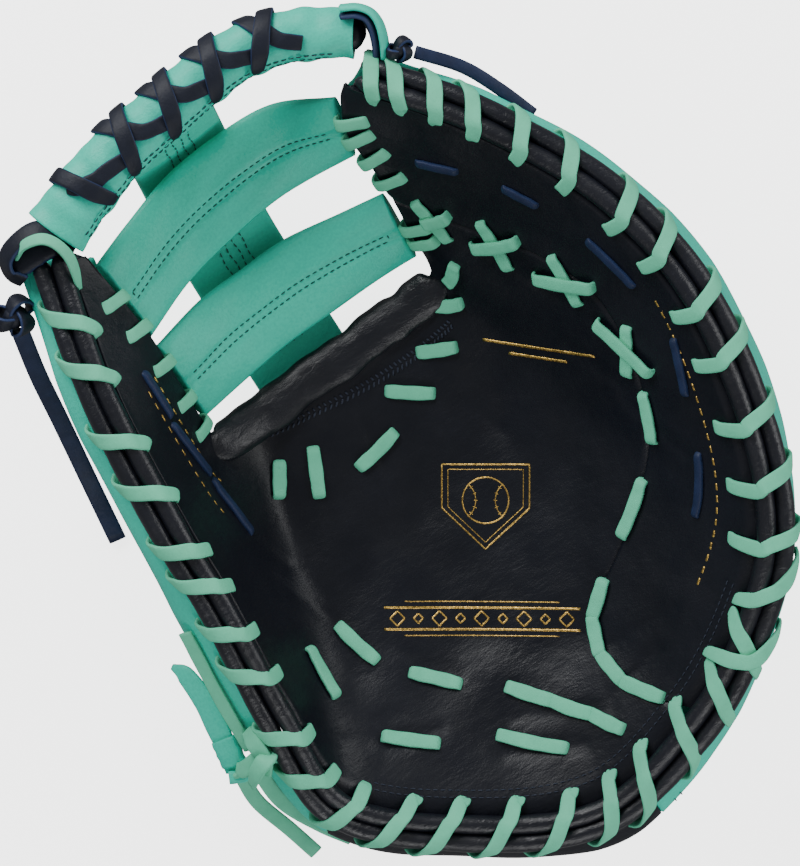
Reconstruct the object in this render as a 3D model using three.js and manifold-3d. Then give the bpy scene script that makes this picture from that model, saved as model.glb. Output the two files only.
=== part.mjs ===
// First baseman mitt, lying on its back with the pocket up.
// Millimetres, +Z up, +Y from the heel to the web, +X to the finger side.
import * as THREE from 'three';
import { mergeVertices } from 'three/addons/utils/BufferGeometryUtils.js';
import Module from 'manifold-3d';

const wasm = await Module();
wasm.setup();

// Overall sizes of the mitt
const mittWidth = 240;
const mittLength = 340;
const mittDepth = 107;

// Leather and lace
const palmLeather = 3;
const backLeather = 3;
const gap = 0.4;
const laceWidth = 6.6;
const laceThick = 1.6;
const stitchLaceWidth = 5;

// Rim rolls
const rollRadius = 3.1;
const rollSpacing = 7;
const rearRollDrop = 1.5;
const rollSides = 6;
const rollSteps = 44;
const palmEdge = rollSpacing / 2 + rollRadius + gap;
const backEdge = 5.2;
const backEdgeDrop = 8.2;

// Back of the mitt
const restFlat = 2.5;
const pocketDip = 6;

// One row for each station along the horseshoe, from the thumb tip round the heel to the finger end.
// rim and web are shares of the width, length and depth; belly is a share of the depth;
// bulge and slot are millimetres; bow is how late the palm rises to the rim.
const stations = [
  { name: 'thumb tip', rim: [-0.314, 0.371, 0.907], web: [-0.264, 0.347, 0.869], belly: 0.770, bulge: 12, bow: 1.0, slot: 12 },
  { name: 'thumb pad', rim: [-0.366, 0.205, 0.944], web: [-0.249, 0.241, 0.738], belly: 0.540, bulge: 13, bow: 1.0, slot: 11 },
  { name: 'thumb knuckle', rim: [-0.386, 0.034, 0.897], web: [-0.254, 0.138, 0.542], belly: 0.315, bulge: 14, bow: 1.3, slot: 12 },
  { name: 'thumb root', rim: [-0.389, -0.046, 0.850], web: [-0.250, 0.111, 0.439], belly: 0.200, bulge: 16, bow: 1.7, slot: 13 },
  { name: 'thumb heel', rim: [-0.408, -0.195, 0.701], web: [-0.175, 0.112, 0.346], belly: 0.055, bulge: 16, bow: 2.2, slot: 14 },
  { name: 'heel corner', rim: [-0.405, -0.323, 0.551], web: [-0.091, 0.117, 0.318], belly: 0.0, bulge: 14, bow: 2.4, slot: 14 },
  { name: 'heel', rim: [-0.237, -0.431, 0.486], web: [0.005, 0.120, 0.308], belly: 0.0, bulge: 10, bow: 2.4, slot: 14 },
  { name: 'heel far corner', rim: [-0.045, -0.490, 0.533], web: [0.082, 0.125, 0.318], belly: 0.0, bulge: 11, bow: 2.4, slot: 14 },
  { name: 'little finger heel', rim: [0.144, -0.458, 0.673], web: [0.142, 0.127, 0.346], belly: 0.0, bulge: 10, bow: 2.3, slot: 14 },
  { name: 'little finger root', rim: [0.284, -0.402, 0.794], web: [0.177, 0.132, 0.383], belly: 0.0, bulge: 9, bow: 2.2, slot: 14 },
  { name: 'little finger', rim: [0.400, -0.325, 0.897], web: [0.186, 0.149, 0.421], belly: 0.050, bulge: 9, bow: 2.1, slot: 13 },
  { name: 'finger middle', rim: [0.471, -0.208, 0.963], web: [0.185, 0.178, 0.486], belly: 0.205, bulge: 10, bow: 2.0, slot: 12 },
  { name: 'finger knuckle', rim: [0.507, -0.047, 1.0], web: [0.189, 0.216, 0.579], belly: 0.355, bulge: 11, bow: 1.8, slot: 12 },
  { name: 'finger shoulder', rim: [0.471, 0.101, 1.0], web: [0.188, 0.256, 0.692], belly: 0.470, bulge: 11, bow: 1.5, slot: 12 },
  { name: 'finger pad', rim: [0.377, 0.235, 0.981], web: [0.182, 0.309, 0.804], belly: 0.620, bulge: 10, bow: 1.2, slot: 11 },
  { name: 'finger tip', rim: [0.270, 0.336, 0.953], web: [0.203, 0.346, 0.888], belly: 0.770, bulge: 9, bow: 1.0, slot: 12 },
  { name: 'finger end', rim: [0.246, 0.358, 0.935], web: [0.217, 0.356, 0.907], belly: 0.790, bulge: 9, bow: 1.0, slot: 12 },
];

// Seam between the palm and the finger panel: share of the rim and share of the way from web to rim
const seam = [
  { along: 0.550, out: 1.02 },
  { along: 0.541, out: 0.96 },
  { along: 0.523, out: 0.86 },
  { along: 0.519, out: 0.79 },
  { along: 0.526, out: 0.73 },
  { along: 0.550, out: 0.70 },
  { along: 0.623, out: 0.68 },
  { along: 0.708, out: 0.70 },
  { along: 0.748, out: 0.68 },
  { along: 0.770, out: 0.63 },
  { along: 0.787, out: 0.50 },
  { along: 0.793, out: 0.29 },
  { along: 0.798, out: 0.12 },
  { along: 0.808, out: 0.0 },
];

// Broad folds pressed into the palm: both ends as shares of width and length, depth and half width in millimetres
const folds = [
  { name: 'thumb hinge', from: [-0.21, 0.08], to: [-0.28, -0.20], depth: 2.2, half: 11 },
  { name: 'pocket hinge', from: [0.02, 0.07], to: [-0.10, -0.22], depth: 1.8, half: 14 },
  { name: 'heel break', from: [-0.06, -0.25], to: [0.10, -0.33], depth: 1.6, half: 12 },
  { name: 'finger hinge', from: [0.24, 0.06], to: [0.30, -0.16], depth: 1.8, half: 13 },
];

const material = (color, roughness) => new THREE.MeshStandardMaterial({ color, roughness, metalness: 0 });
const navyLeather = material(0x161a23, 0.48);
const navyRoll = material(0x1b1f29, 0.42);
const navyLace = material(0x1a2233, 0.55);
const mintLeather = material(0x8fcfba, 0.5);
const mintLace = material(0x9ccdb9, 0.6);

const group = new THREE.Group();
group.name = 'first_base_mitt';

function place(name, geometry, look) {
  const mesh = new THREE.Mesh(geometry, look);
  mesh.name = name;
  group.add(mesh);
}

// Smooth table lookup shared by every column of the stations
const columns = stations.map((row) => [
  row.rim[0] * mittWidth, row.rim[1] * mittLength, row.rim[2] * mittDepth,
  row.web[0] * mittWidth, row.web[1] * mittLength, row.web[2] * mittDepth,
  row.belly * mittDepth, row.bulge, row.bow, row.slot,
]);
const knots = [0];
for (let i = 1; i < columns.length; i += 1) {
  const [a, b] = [columns[i - 1], columns[i]];
  knots.push(knots[i - 1] + Math.hypot(b[0] - a[0], b[1] - a[1]));
}
const rimLength = knots[knots.length - 1];
knots.forEach((k, i) => { knots[i] = k / rimLength; });
const slopes = columns.map((row, i) => {
  const a = Math.max(i - 1, 0);
  const b = Math.min(i + 1, columns.length - 1);
  return row.map((_, c) => (columns[b][c] - columns[a][c]) / (knots[b] - knots[a]));
});

function stationAt(along) {
  const s = Math.min(Math.max(along, 0), 1);
  let k = 0;
  while (k < knots.length - 2 && s >= knots[k + 1]) k += 1;
  const h = knots[k + 1] - knots[k];
  const t = (s - knots[k]) / h;
  const start = 2 * t ** 3 - 3 * t * t + 1;
  const leave = (t ** 3 - 2 * t * t + t) * h;
  const end = -2 * t ** 3 + 3 * t * t;
  const arrive = (t ** 3 - t * t) * h;
  const c = columns[k].map((value, i) => (
    start * value + leave * slopes[k][i] + end * columns[k + 1][i] + arrive * slopes[k + 1][i]));
  return {
    rim: new THREE.Vector3(c[0], c[1], c[2]),
    web: new THREE.Vector3(c[3], c[4], c[5]),
    belly: Math.max(c[6], 0), bulge: c[7], bow: Math.max(c[8], 1), slot: c[9],
  };
}

function outwardAt(along) {
  const a = stationAt(along - 0.004).rim;
  const b = stationAt(along + 0.004).rim;
  const run = new THREE.Vector3(b.x - a.x, b.y - a.y, 0).normalize();
  return new THREE.Vector3(run.y, -run.x, 0);
}

const smooth = (a, b, x) => {
  const t = Math.min(Math.max((x - a) / (b - a), 0), 1);
  return t * t * (3 - 2 * t);
};

function foldDepth(x, y) {
  let depth = 0;
  for (const fold of folds) {
    const ax = fold.from[0] * mittWidth;
    const ay = fold.from[1] * mittLength;
    const dx = fold.to[0] * mittWidth - ax;
    const dy = fold.to[1] * mittLength - ay;
    const t = Math.min(Math.max(((x - ax) * dx + (y - ay) * dy) / (dx * dx + dy * dy), 0), 1);
    const d = Math.hypot(x - ax - dx * t, y - ay - dy * t);
    depth += fold.depth * Math.exp(-((d / fold.half) ** 2));
  }
  return depth;
}

// Front face of the palm leather: along the rim, and out from the web to the rim
function palmAt(along, out) {
  const row = stationAt(along);
  const edge = row.rim.clone().addScaledVector(outwardAt(along), -palmEdge);
  const p = row.web.clone().lerp(edge, out);
  p.z = row.web.z + (row.rim.z - row.web.z) * Math.max(out, 0) ** row.bow;
  const inPocket = smooth(0.2, 0.3, along) * (1 - smooth(0.52, 0.68, along));
  p.z -= pocketDip * inPocket * Math.sin(Math.PI * Math.min(Math.max(out, 0), 1));
  p.z -= foldDepth(p.x, p.y) * smooth(0, 0.08, out) * (1 - smooth(0.92, 1, out));
  return p;
}

// Outside face of the back leather, as a smooth section under the palm
const backSection = [
  { reach: 0.02, rise: 1.0, from: 'slot' },
  { reach: 0.12, rise: 0.08, from: 'slot' },
  { reach: 0.52, rise: 0.0, from: 'belly' },
  { reach: 0.85, rise: 0.30, from: 'belly' },
  { reach: 1.0, rise: 0.68, from: 'bulge' },
  { reach: 1.0, rise: 1.0, from: 'edge' },
];

function backAt(along, out) {
  const row = stationAt(along);
  const outward = outwardAt(along);
  const slotZ = row.web.z - row.slot;
  const height = { slot: slotZ - row.belly, belly: row.rim.z - row.belly, bulge: row.rim.z - row.belly };
  const beyond = { slot: 0, belly: 0, bulge: row.bulge, edge: backEdge };
  const keys = backSection.map(({ reach, rise, from }) => {
    const p = row.web.clone().lerp(row.rim, reach).addScaledVector(outward, beyond[from]);
    p.z = from === 'edge' ? row.rim.z - backEdgeDrop : row.belly + height[from] * rise;
    return p;
  });
  const last = keys.length - 1;
  const x = Math.min(Math.max(out, 0), 1) * last;
  const k = Math.min(Math.floor(x), last - 1);
  const t = x - k;
  const at = (i) => keys[Math.min(Math.max(i, 0), last)];
  const p = new THREE.Vector3()
    .addScaledVector(at(k - 1), (-t + 2 * t * t - t ** 3) / 2)
    .addScaledVector(at(k), (2 - 5 * t * t + 3 * t ** 3) / 2)
    .addScaledVector(at(k + 1), (t + 4 * t * t - 3 * t ** 3) / 2)
    .addScaledVector(at(k + 2), (t ** 3 - t * t) / 2);
  p.z = Math.max(p.z - restFlat, 0);
  return p;
}

function normalOf(surface, along, out) {
  const du = surface(along + 0.004, out).sub(surface(along - 0.004, out));
  const dv = surface(along, Math.min(out + 0.02, 1)).sub(surface(along, Math.max(out - 0.02, 0)));
  return dv.cross(du).normalize();
}

// Closed solid from two grids of points that face each other
function sheet(front, rear) {
  const rows = front.length;
  const cols = front[0].length;
  const positions = [];
  for (const grid of [front, rear]) for (const row of grid) for (const p of row) positions.push(p.x, p.y, p.z);
  const at = (side, i, j) => side * rows * cols + i * cols + j;
  const index = [];
  const quad = (a, b, c, d) => index.push(a, b, c, a, c, d);
  for (let i = 0; i < rows - 1; i += 1) {
    for (let j = 0; j < cols - 1; j += 1) {
      quad(at(0, i, j), at(0, i, j + 1), at(0, i + 1, j + 1), at(0, i + 1, j));
      quad(at(1, i, j), at(1, i + 1, j), at(1, i + 1, j + 1), at(1, i, j + 1));
    }
    quad(at(0, i, 0), at(0, i + 1, 0), at(1, i + 1, 0), at(1, i, 0));
    quad(at(0, i + 1, cols - 1), at(0, i, cols - 1), at(1, i, cols - 1), at(1, i + 1, cols - 1));
  }
  for (let j = 0; j < cols - 1; j += 1) {
    quad(at(0, 0, j + 1), at(0, 0, j), at(1, 0, j), at(1, 0, j + 1));
    quad(at(0, rows - 1, j), at(0, rows - 1, j + 1), at(1, rows - 1, j + 1), at(1, rows - 1, j));
  }
  return closed(positions, index);
}

// Geometry from points and triangles, turned so that it faces outwards
function closed(positions, index) {
  let volume = 0;
  const v = (i) => new THREE.Vector3(positions[3 * i], positions[3 * i + 1], positions[3 * i + 2]);
  for (let i = 0; i < index.length; i += 3) {
    volume += v(index[i]).dot(v(index[i + 1]).cross(v(index[i + 2])));
  }
  if (volume < 0) {
    for (let i = 0; i < index.length; i += 3) [index[i + 1], index[i + 2]] = [index[i + 2], index[i + 1]];
  }
  const geometry = new THREE.BufferGeometry();
  geometry.setAttribute('position', new THREE.Float32BufferAttribute(positions, 3));
  geometry.setIndex(index);
  geometry.computeVertexNormals();
  return geometry;
}

const steps = (from, to, count) => Array.from({ length: count + 1 }, (_, i) => from + ((to - from) * i) / count);

// Leather of one thickness on a surface, over a range along the rim and out from the web
function shell(surface, thick, alongList, outList) {
  const front = [];
  const rear = [];
  for (const along of alongList) {
    const face = outList.map((out) => surface(along, out));
    front.push(face);
    rear.push(face.map((p, j) => {
      const n = normalOf(surface, along, outList[j]);
      if (thick < 0) n.lerp(new THREE.Vector3(0, 0, 1), smooth(0.75, 1, outList[j])).normalize();
      return p.clone().addScaledVector(n, thick);
    }));
  }
  return sheet(front, rear);
}

// Solid with one closed section swept along a line
function swept(points, sections) {
  const positions = [];
  const index = [];
  const sides = sections[0].length;
  sections.forEach((section) => section.forEach((p) => positions.push(p.x, p.y, p.z)));
  for (let i = 0; i < sections.length - 1; i += 1) {
    for (let j = 0; j < sides; j += 1) {
      const k = (j + 1) % sides;
      const [a, b, c, d] = [i * sides + j, i * sides + k, (i + 1) * sides + k, (i + 1) * sides + j];
      index.push(a, b, c, a, c, d);
    }
  }
  const lastRing = (sections.length - 1) * sides;
  for (let j = 1; j < sides - 1; j += 1) {
    index.push(0, j + 1, j);
    index.push(lastRing, lastRing + j, lastRing + j + 1);
  }
  return closed(positions, index);
}

function tangentAt(points, i) {
  const a = points[Math.max(i - 1, 0)];
  const b = points[Math.min(i + 1, points.length - 1)];
  return b.clone().sub(a).normalize();
}

// Flat lace: width across, thickness along the given face directions
function lace(points, faces, width, thick) {
  const sections = points.map((p, i) => {
    const run = tangentAt(points, i);
    const face = faces[i].clone().addScaledVector(run, -faces[i].dot(run)).normalize();
    const side = new THREE.Vector3().crossVectors(run, face);
    const corner = (a, b) => p.clone().addScaledVector(side, a * width / 2).addScaledVector(face, b * thick / 2);
    return [corner(-1, -1), corner(1, -1), corner(1, 1), corner(-1, 1)];
  });
  return swept(points, sections);
}

// Round or oval rod, kept level by one up direction
function rod(points, across, high, sides, up = new THREE.Vector3(0, 0, 1)) {
  const sections = points.map((p, i) => {
    const run = tangentAt(points, i);
    const side = new THREE.Vector3().crossVectors(run, up).normalize();
    const top = new THREE.Vector3().crossVectors(side, run).normalize();
    const a = typeof across === 'function' ? across(i / (points.length - 1)) : across;
    const h = typeof high === 'function' ? high(i / (points.length - 1)) : high;
    return Array.from({ length: sides }, (_, j) => {
      const angle = (2 * Math.PI * (j + 0.5)) / sides;
      return p.clone().addScaledVector(side, Math.cos(angle) * a / 2).addScaledVector(top, Math.sin(angle) * h / 2);
    });
  });
  return swept(points, sections);
}

const share = (x, y, z) => new THREE.Vector3(x * mittWidth, y * mittLength, z * mittDepth);

// Palm and finger panel: one formed sheet, cut apart along the seam
const seamLine = new THREE.CatmullRomCurve3(seam.map(({ along, out }) => {
  const p = palmAt(along, out);
  return new THREE.Vector3(p.x, p.y, 0);
})).getPoints(26);
const seamSide = (distance) => seamLine.map((p, i) => {
  const run = tangentAt(seamLine, i);
  return new THREE.Vector2(p.x - run.y * distance, p.y + run.x * distance);
});

function region(edge, corners) {
  const shape = new THREE.Shape([...edge, ...corners]);
  const prism = new THREE.ExtrudeGeometry(shape, { depth: 2 * mittDepth, bevelEnabled: false });
  prism.translate(0, 0, -mittDepth / 2);
  return prism;
}

function solid(geometry) {
  const plain = geometry.clone();
  plain.deleteAttribute('normal');
  plain.deleteAttribute('uv');
  const tidy = mergeVertices(plain, 1e-4);
  const mesh = new wasm.Mesh({ numProp: 3, vertProperties: tidy.attributes.position.array, triVerts: new Uint32Array(tidy.index.array) });
  return new wasm.Manifold(mesh);
}

function fromSolid(body) {
  const mesh = body.getMesh();
  const geometry = new THREE.BufferGeometry();
  geometry.setAttribute('position', new THREE.Float32BufferAttribute(mesh.vertProperties, 3));
  geometry.setIndex(Array.from(mesh.triVerts));
  geometry.computeVertexNormals();
  return geometry;
}

const united = (geometries) => fromSolid(geometries.map(solid).reduce((a, b) => a.add(b)));

const frontSheet = solid(shell((a, o) => palmAt(a, o), -palmLeather, steps(0, 1, 36), steps(0, 1, 6)));
const far = 2 * mittLength;
const start = seamLine[0];
const end = seamLine[seamLine.length - 1];
const palmRegion = region(seamSide(gap / 2), [
  new THREE.Vector2(end.x - 12, end.y + 2), new THREE.Vector2(end.x - 12, far),
  new THREE.Vector2(-far, far), new THREE.Vector2(-far, -far), new THREE.Vector2(start.x, -far),
]);
const fingerRegion = region(seamSide(-gap / 2), [
  new THREE.Vector2(end.x - 11, end.y + 4), new THREE.Vector2(end.x - 11, far),
  new THREE.Vector2(far, far), new THREE.Vector2(far, -far), new THREE.Vector2(start.x + 1, -far),
]);
place('palm_panel', fromSolid(frontSheet.intersect(solid(palmRegion))), navyLeather);
place('finger_panel', fromSolid(frontSheet.intersect(solid(fingerRegion))), navyLeather);

// Back leather, with the hand hole open between the middle back and the heel
const backPieces = [
  { name: 'back_thumb', from: 0, to: 0.2712, count: 11, inner: 0, outer: 1, across: 7, look: mintLeather },
  { name: 'back_middle', from: 0.2742, to: 0.4984, count: 9, inner: 0, outer: 0.36, across: 4, look: mintLeather },
  { name: 'back_fingers', from: 0.4995, to: 1, count: 18, inner: 0, outer: 1, across: 7, look: mintLeather },
  { name: 'wrist_strap', from: 0.2732, to: 0.4986, count: 8, inner: 0.42, outer: 0.52, across: 2, look: mintLeather },
  { name: 'heel_binding', from: 0.2746, to: 0.4976, count: 10, inner: 0.9, outer: 1, across: 2, look: navyLeather },
];
for (const { name, from, to, count, inner, outer, across, look } of backPieces) {
  place(name, shell(backAt, backLeather, steps(from, to, count), steps(inner, outer, across)), look);
}

// Rim rolls
const rimPoint = (along, outward, drop) => {
  const p = stationAt(along).rim.addScaledVector(outwardAt(along), outward);
  p.z -= drop;
  return p;
};
const rimRoll = (outward, drop) => rod(
  steps(0, 1, rollSteps).map((s) => rimPoint(s, outward, drop)), 2 * rollRadius, 2 * rollRadius, rollSides);
place('rim_roll_front', rimRoll(-rollSpacing / 2, 0), navyRoll);
place('rim_roll_rear', rimRoll(rollSpacing / 2, rearRollDrop), navyRoll);

// Crotch roll along the pocket's web edge
const crotchWidth = 9;
const crotchHigh = 7;
const crotchRun = steps(0.226, 0.574, 20).map((s) => {
  const p = stationAt(s).web;
  const q = stationAt(s + 0.01).web.sub(stationAt(s - 0.01).web);
  const away = new THREE.Vector3(-q.y, q.x, 0).normalize();
  return p.addScaledVector(away, crotchWidth / 2 + gap + 0.6);
});
place('crotch_roll', rod(crotchRun, crotchWidth, crotchHigh, 8), navyRoll);

// Web: crown sleeve with its core, two bars and the post behind them
const crown = [
  [-0.293, 0.385, 0.925], [-0.219, 0.405, 0.944], [-0.135, 0.424, 0.953], [-0.049, 0.434, 0.953],
  [0.038, 0.443, 0.944], [0.107, 0.445, 0.935], [0.176, 0.434, 0.925], [0.242, 0.411, 0.925], [0.289, 0.389, 0.935],
];
const crownLine = new THREE.CatmullRomCurve3(crown.map((p) => share(...p)));
const crownPoints = (from, to, count) => steps(from, to, count).map((t) => crownLine.getPoint(t));
const crownWide = (t) => 24 - 5 * t;
const crownHigh = 15;
const sleeveWall = 2.2;

function tubeOf(points, wide, high, wall, sides) {
  const outer = solid(rod(points, wide, high, sides));
  const longer = points.map((p) => p.clone());
  const first = tangentAt(points, 0);
  const lastTangent = tangentAt(points, points.length - 1);
  longer[0].addScaledVector(first, -2);
  longer[points.length - 1].addScaledVector(lastTangent, 2);
  const inner = solid(rod(longer, (t) => wide(t) - 2 * wall, high - 2 * wall, sides));
  return fromSolid(outer.subtract(inner));
}
place('web_crown_sleeve', tubeOf(crownPoints(0.03, 0.97, 12), crownWide, crownHigh, sleeveWall, 8), mintLeather);
const coreInset = 2 * (sleeveWall + gap + 0.5);
place('web_crown_core', rod(crownPoints(0, 1, 12), (t) => crownWide(t) - coreInset, crownHigh - coreInset, 8), navyLeather);

// Bars and post: both edges as shares, one row for each place along them
const bars = {
  web_upper_bar: [
    { top: [-0.260, 0.338, 0.784], low: [-0.250, 0.240, 0.660] },
    { top: [-0.185, 0.360, 0.710], low: [-0.152, 0.270, 0.600] },
    { top: [-0.088, 0.383, 0.665], low: [-0.050, 0.287, 0.555] },
    { top: [0.018, 0.391, 0.665], low: [0.029, 0.295, 0.560] },
    { top: [0.110, 0.385, 0.715], low: [0.095, 0.294, 0.610] },
    { top: [0.196, 0.352, 0.815], low: [0.176, 0.288, 0.678] },
  ],
  web_lower_bar: [
    { top: [-0.252, 0.229, 0.633], low: [-0.252, 0.134, 0.458] },
    { top: [-0.155, 0.248, 0.530], low: [-0.154, 0.146, 0.430] },
    { top: [-0.076, 0.253, 0.470], low: [-0.073, 0.154, 0.400] },
    { top: [0.007, 0.256, 0.460], low: [0.009, 0.157, 0.395] },
    { top: [0.108, 0.246, 0.500], low: [0.103, 0.160, 0.400] },
    { top: [0.181, 0.238, 0.576], low: [0.176, 0.160, 0.375] },
  ],
};
const barThick = 5;
for (const [name, rows] of Object.entries(bars)) {
  const tops = new THREE.CatmullRomCurve3(rows.map(({ top }) => share(...top))).getPoints(9);
  const lows = new THREE.CatmullRomCurve3(rows.map(({ low }) => share(...low))).getPoints(9);
  const sections = tops.map((top, i) => {
    const across = lows[i].clone().sub(top);
    const run = tangentAt(tops, i);
    const face = new THREE.Vector3().crossVectors(run, across).normalize();
    if (face.z < 0) face.negate();
    const at = (share_, lift) => top.clone().addScaledVector(across, share_).addScaledVector(face, lift * barThick / 2);
    return [at(0, 0), at(0.1, 1), at(0.9, 1), at(1, 0), at(0.9, -1), at(0.1, -1)];
  });
  place(name, swept(tops, sections), mintLeather);
}

const postWidth = 38;
const post = [
  [-0.051, 0.428, 0.835], [-0.053, 0.410, 0.730], [-0.057, 0.388, 0.600], [-0.065, 0.341, 0.500],
  [-0.071, 0.285, 0.420], [-0.073, 0.213, 0.315], [-0.074, 0.160, 0.236], [-0.074, 0.110, 0.207],
];
const postLine = new THREE.CatmullRomCurve3(post.map((p) => share(...p))).getPoints(14);
const acrossPost = new THREE.Vector3(1, 0.06, 0).normalize();
place('web_post', lace(postLine, postLine.map((_, i) => (
  new THREE.Vector3().crossVectors(tangentAt(postLine, i), acrossPost).negate())), postWidth, 3), mintLeather);

// Rim laces: each goes from the palm over both rolls and under them into the rim,
// where one hidden run carries it on to the next
const rimLaces = [
  { name: 'edge_lace_thumb', slant: -0.021, reach: 0.93, at: [0.050, 0.080, 0.118, 0.147, 0.180, 0.205, 0.233, 0.260, 0.292, 0.320, 0.347] },
  { name: 'edge_lace_heel', slant: -0.018, reach: 0.945, at: [0.377, 0.405, 0.433, 0.462, 0.487, 0.515, 0.544, 0.573] },
  { name: 'edge_lace_fingers', slant: 0.024, reach: 0.92, at: [0.606, 0.637, 0.671, 0.704, 0.738, 0.768, 0.804, 0.835, 0.868, 0.897, 0.922, 0.948] },
];
const overRolls = [
  { outward: -8.7, up: 3.7 },
  { outward: -3.6, up: 6.0 },
  { outward: 5.0, up: 4.2 },
  { outward: 9.4, up: -1.4 },
  { outward: 6.8, up: -6.6 },
  { outward: -0.6, up: -7.0 },
];
const hiddenRun = { outward: -0.6, up: -7.0, width: 3 };
function rimLoop(at, slant, reach) {
  const points = [];
  const faces = [];
  const last = overRolls.length + 1;
  for (let i = 0; i <= last; i += 1) {
    const along = Math.min(Math.max(at + (slant * i) / (last - 2), 0.004), 0.996);
    if (i < 2) {
      const out = reach + (0.99 - reach) * i;
      const n = normalOf(palmAt, along, out);
      points.push(palmAt(along, out).addScaledVector(n, laceThick / 2 + gap + 0.5 + 0.3 * i));
      faces.push(n);
    } else {
      const { outward, up } = overRolls[i - 2];
      points.push(rimPoint(along, outward, -up));
      faces.push(outwardAt(along).multiplyScalar(outward - 0.4).add(new THREE.Vector3(0, 0, up + 0.5)).normalize());
    }
  }
  return lace(points, faces, laceWidth, laceThick);
}
for (const { name, slant, reach, at } of rimLaces) {
  const ends = [at[0] + slant * 1.2, at[at.length - 1] + slant * 1.2].map((s) => Math.min(Math.max(s, 0.004), 0.99));
  const run = steps(ends[0], ends[1], at.length).map((s) => rimPoint(s, hiddenRun.outward, -hiddenRun.up));
  const core = lace(run, run.map(() => new THREE.Vector3(0, 0, 1)), hiddenRun.width, laceThick * 0.8);
  place(name, united([core, ...at.map((s) => rimLoop(s, slant, reach))]), mintLace);
}

// Laces that lie on the palm: both ends along the rim and out from the web
function onPalm({ from, to }, width, count = 3, raise = 0.55) {
  const points = [];
  const faces = [];
  for (const t of steps(0, 1, count)) {
    const along = from[0] + (to[0] - from[0]) * t;
    const out = from[1] + (to[1] - from[1]) * t;
    const n = normalOf(palmAt, along, out);
    points.push(palmAt(along, out).addScaledVector(n, laceThick / 2 + gap + raise));
    faces.push(n);
  }
  return lace(points, faces, width, laceThick);
}
const palmLaces = [
  { from: [0.292, 0.19], to: [0.285, 0.29] }, { from: [0.338, 0.18], to: [0.338, 0.29] },
  { from: [0.385, 0.25], to: [0.430, 0.21] }, { from: [0.440, 0.13], to: [0.492, 0.18] },
  { from: [0.500, 0.10], to: [0.550, 0.14] }, { from: [0.562, 0.05], to: [0.616, 0.10] },
  { from: [0.635, 0.06], to: [0.705, 0.13] }, { from: [0.340, 0.60], to: [0.365, 0.67] },
  { from: [0.302, 0.70], to: [0.328, 0.77], lift: 0.9 }, { from: [0.388, 0.70], to: [0.417, 0.73] },
  { from: [0.362, 0.84], to: [0.393, 0.85] }, { from: [0.432, 0.84], to: [0.468, 0.89] },
];
palmLaces.forEach((row, i) => place(`palm_lace_${i + 1}`, onPalm(row, stitchLaceWidth, 3, row.lift), mintLace));

// Seam laces: crossed pairs, then two single lengths, then the two runs on the heel
const seamCrosses = [
  [{ from: [0.812, 0.10], to: [0.755, 0.15] }, { from: [0.775, 0.09], to: [0.805, 0.21] }],
  [{ from: [0.807, 0.34], to: [0.753, 0.35] }, { from: [0.765, 0.25], to: [0.797, 0.45] }],
  [{ from: [0.789, 0.56], to: [0.748, 0.57] }, { from: [0.758, 0.45], to: [0.772, 0.66] }],
  [{ from: [0.745, 0.72], to: [0.703, 0.66] }, { from: [0.738, 0.62], to: [0.718, 0.75] }],
];
seamCrosses.forEach((pair, i) => place(
  `seam_cross_${i + 1}`, united(pair.map((row, k) => onPalm(row, stitchLaceWidth, 4, 0.6 + 0.5 * k))), mintLace));
const seamLengths = [
  { from: [0.694, 0.70], to: [0.660, 0.70] }, { from: [0.623, 0.68], to: [0.580, 0.68] },
];
seamLengths.forEach((row, i) => place(`seam_lace_${i + 1}`, onPalm(row, stitchLaceWidth), mintLace));
const heelRuns = [
  [[0.547, 0.70], [0.527, 0.73], [0.519, 0.79], [0.523, 0.86], [0.538, 0.94]],
  [[0.448, 0.75], [0.473, 0.80], [0.495, 0.86], [0.508, 0.92]],
];
heelRuns.forEach((run, i) => place(`heel_lace_${i + 1}`, united(run.slice(1).map((to, k) => (
  onPalm({ from: run[k], to }, stitchLaceWidth, 2, 0.9 + 0.4 * (k % 2))))), mintLace));
const handStitches = [
  { name: 'thumb_stitch_1', from: [0.092, 0.42], to: [0.125, 0.39] },
  { name: 'thumb_stitch_2', from: [0.131, 0.43], to: [0.180, 0.34] },
  { name: 'thumb_stitch_3', from: [0.187, 0.36], to: [0.238, 0.47] },
  { name: 'finger_stitch_1', from: [0.888, 0.30], to: [0.880, 0.46] },
  { name: 'finger_stitch_2', from: [0.863, 0.62], to: [0.848, 0.69] },
  { name: 'finger_stitch_3', from: [0.818, 0.78], to: [0.787, 0.83] },
  { name: 'finger_stitch_4', from: [0.752, 0.88], to: [0.716, 0.85] },
  { name: 'finger_stitch_5', from: [0.675, 0.84], to: [0.634, 0.83] },
];
for (const { name, from, to } of handStitches) place(name, onPalm({ from, to }, stitchLaceWidth), navyLace);

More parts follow.
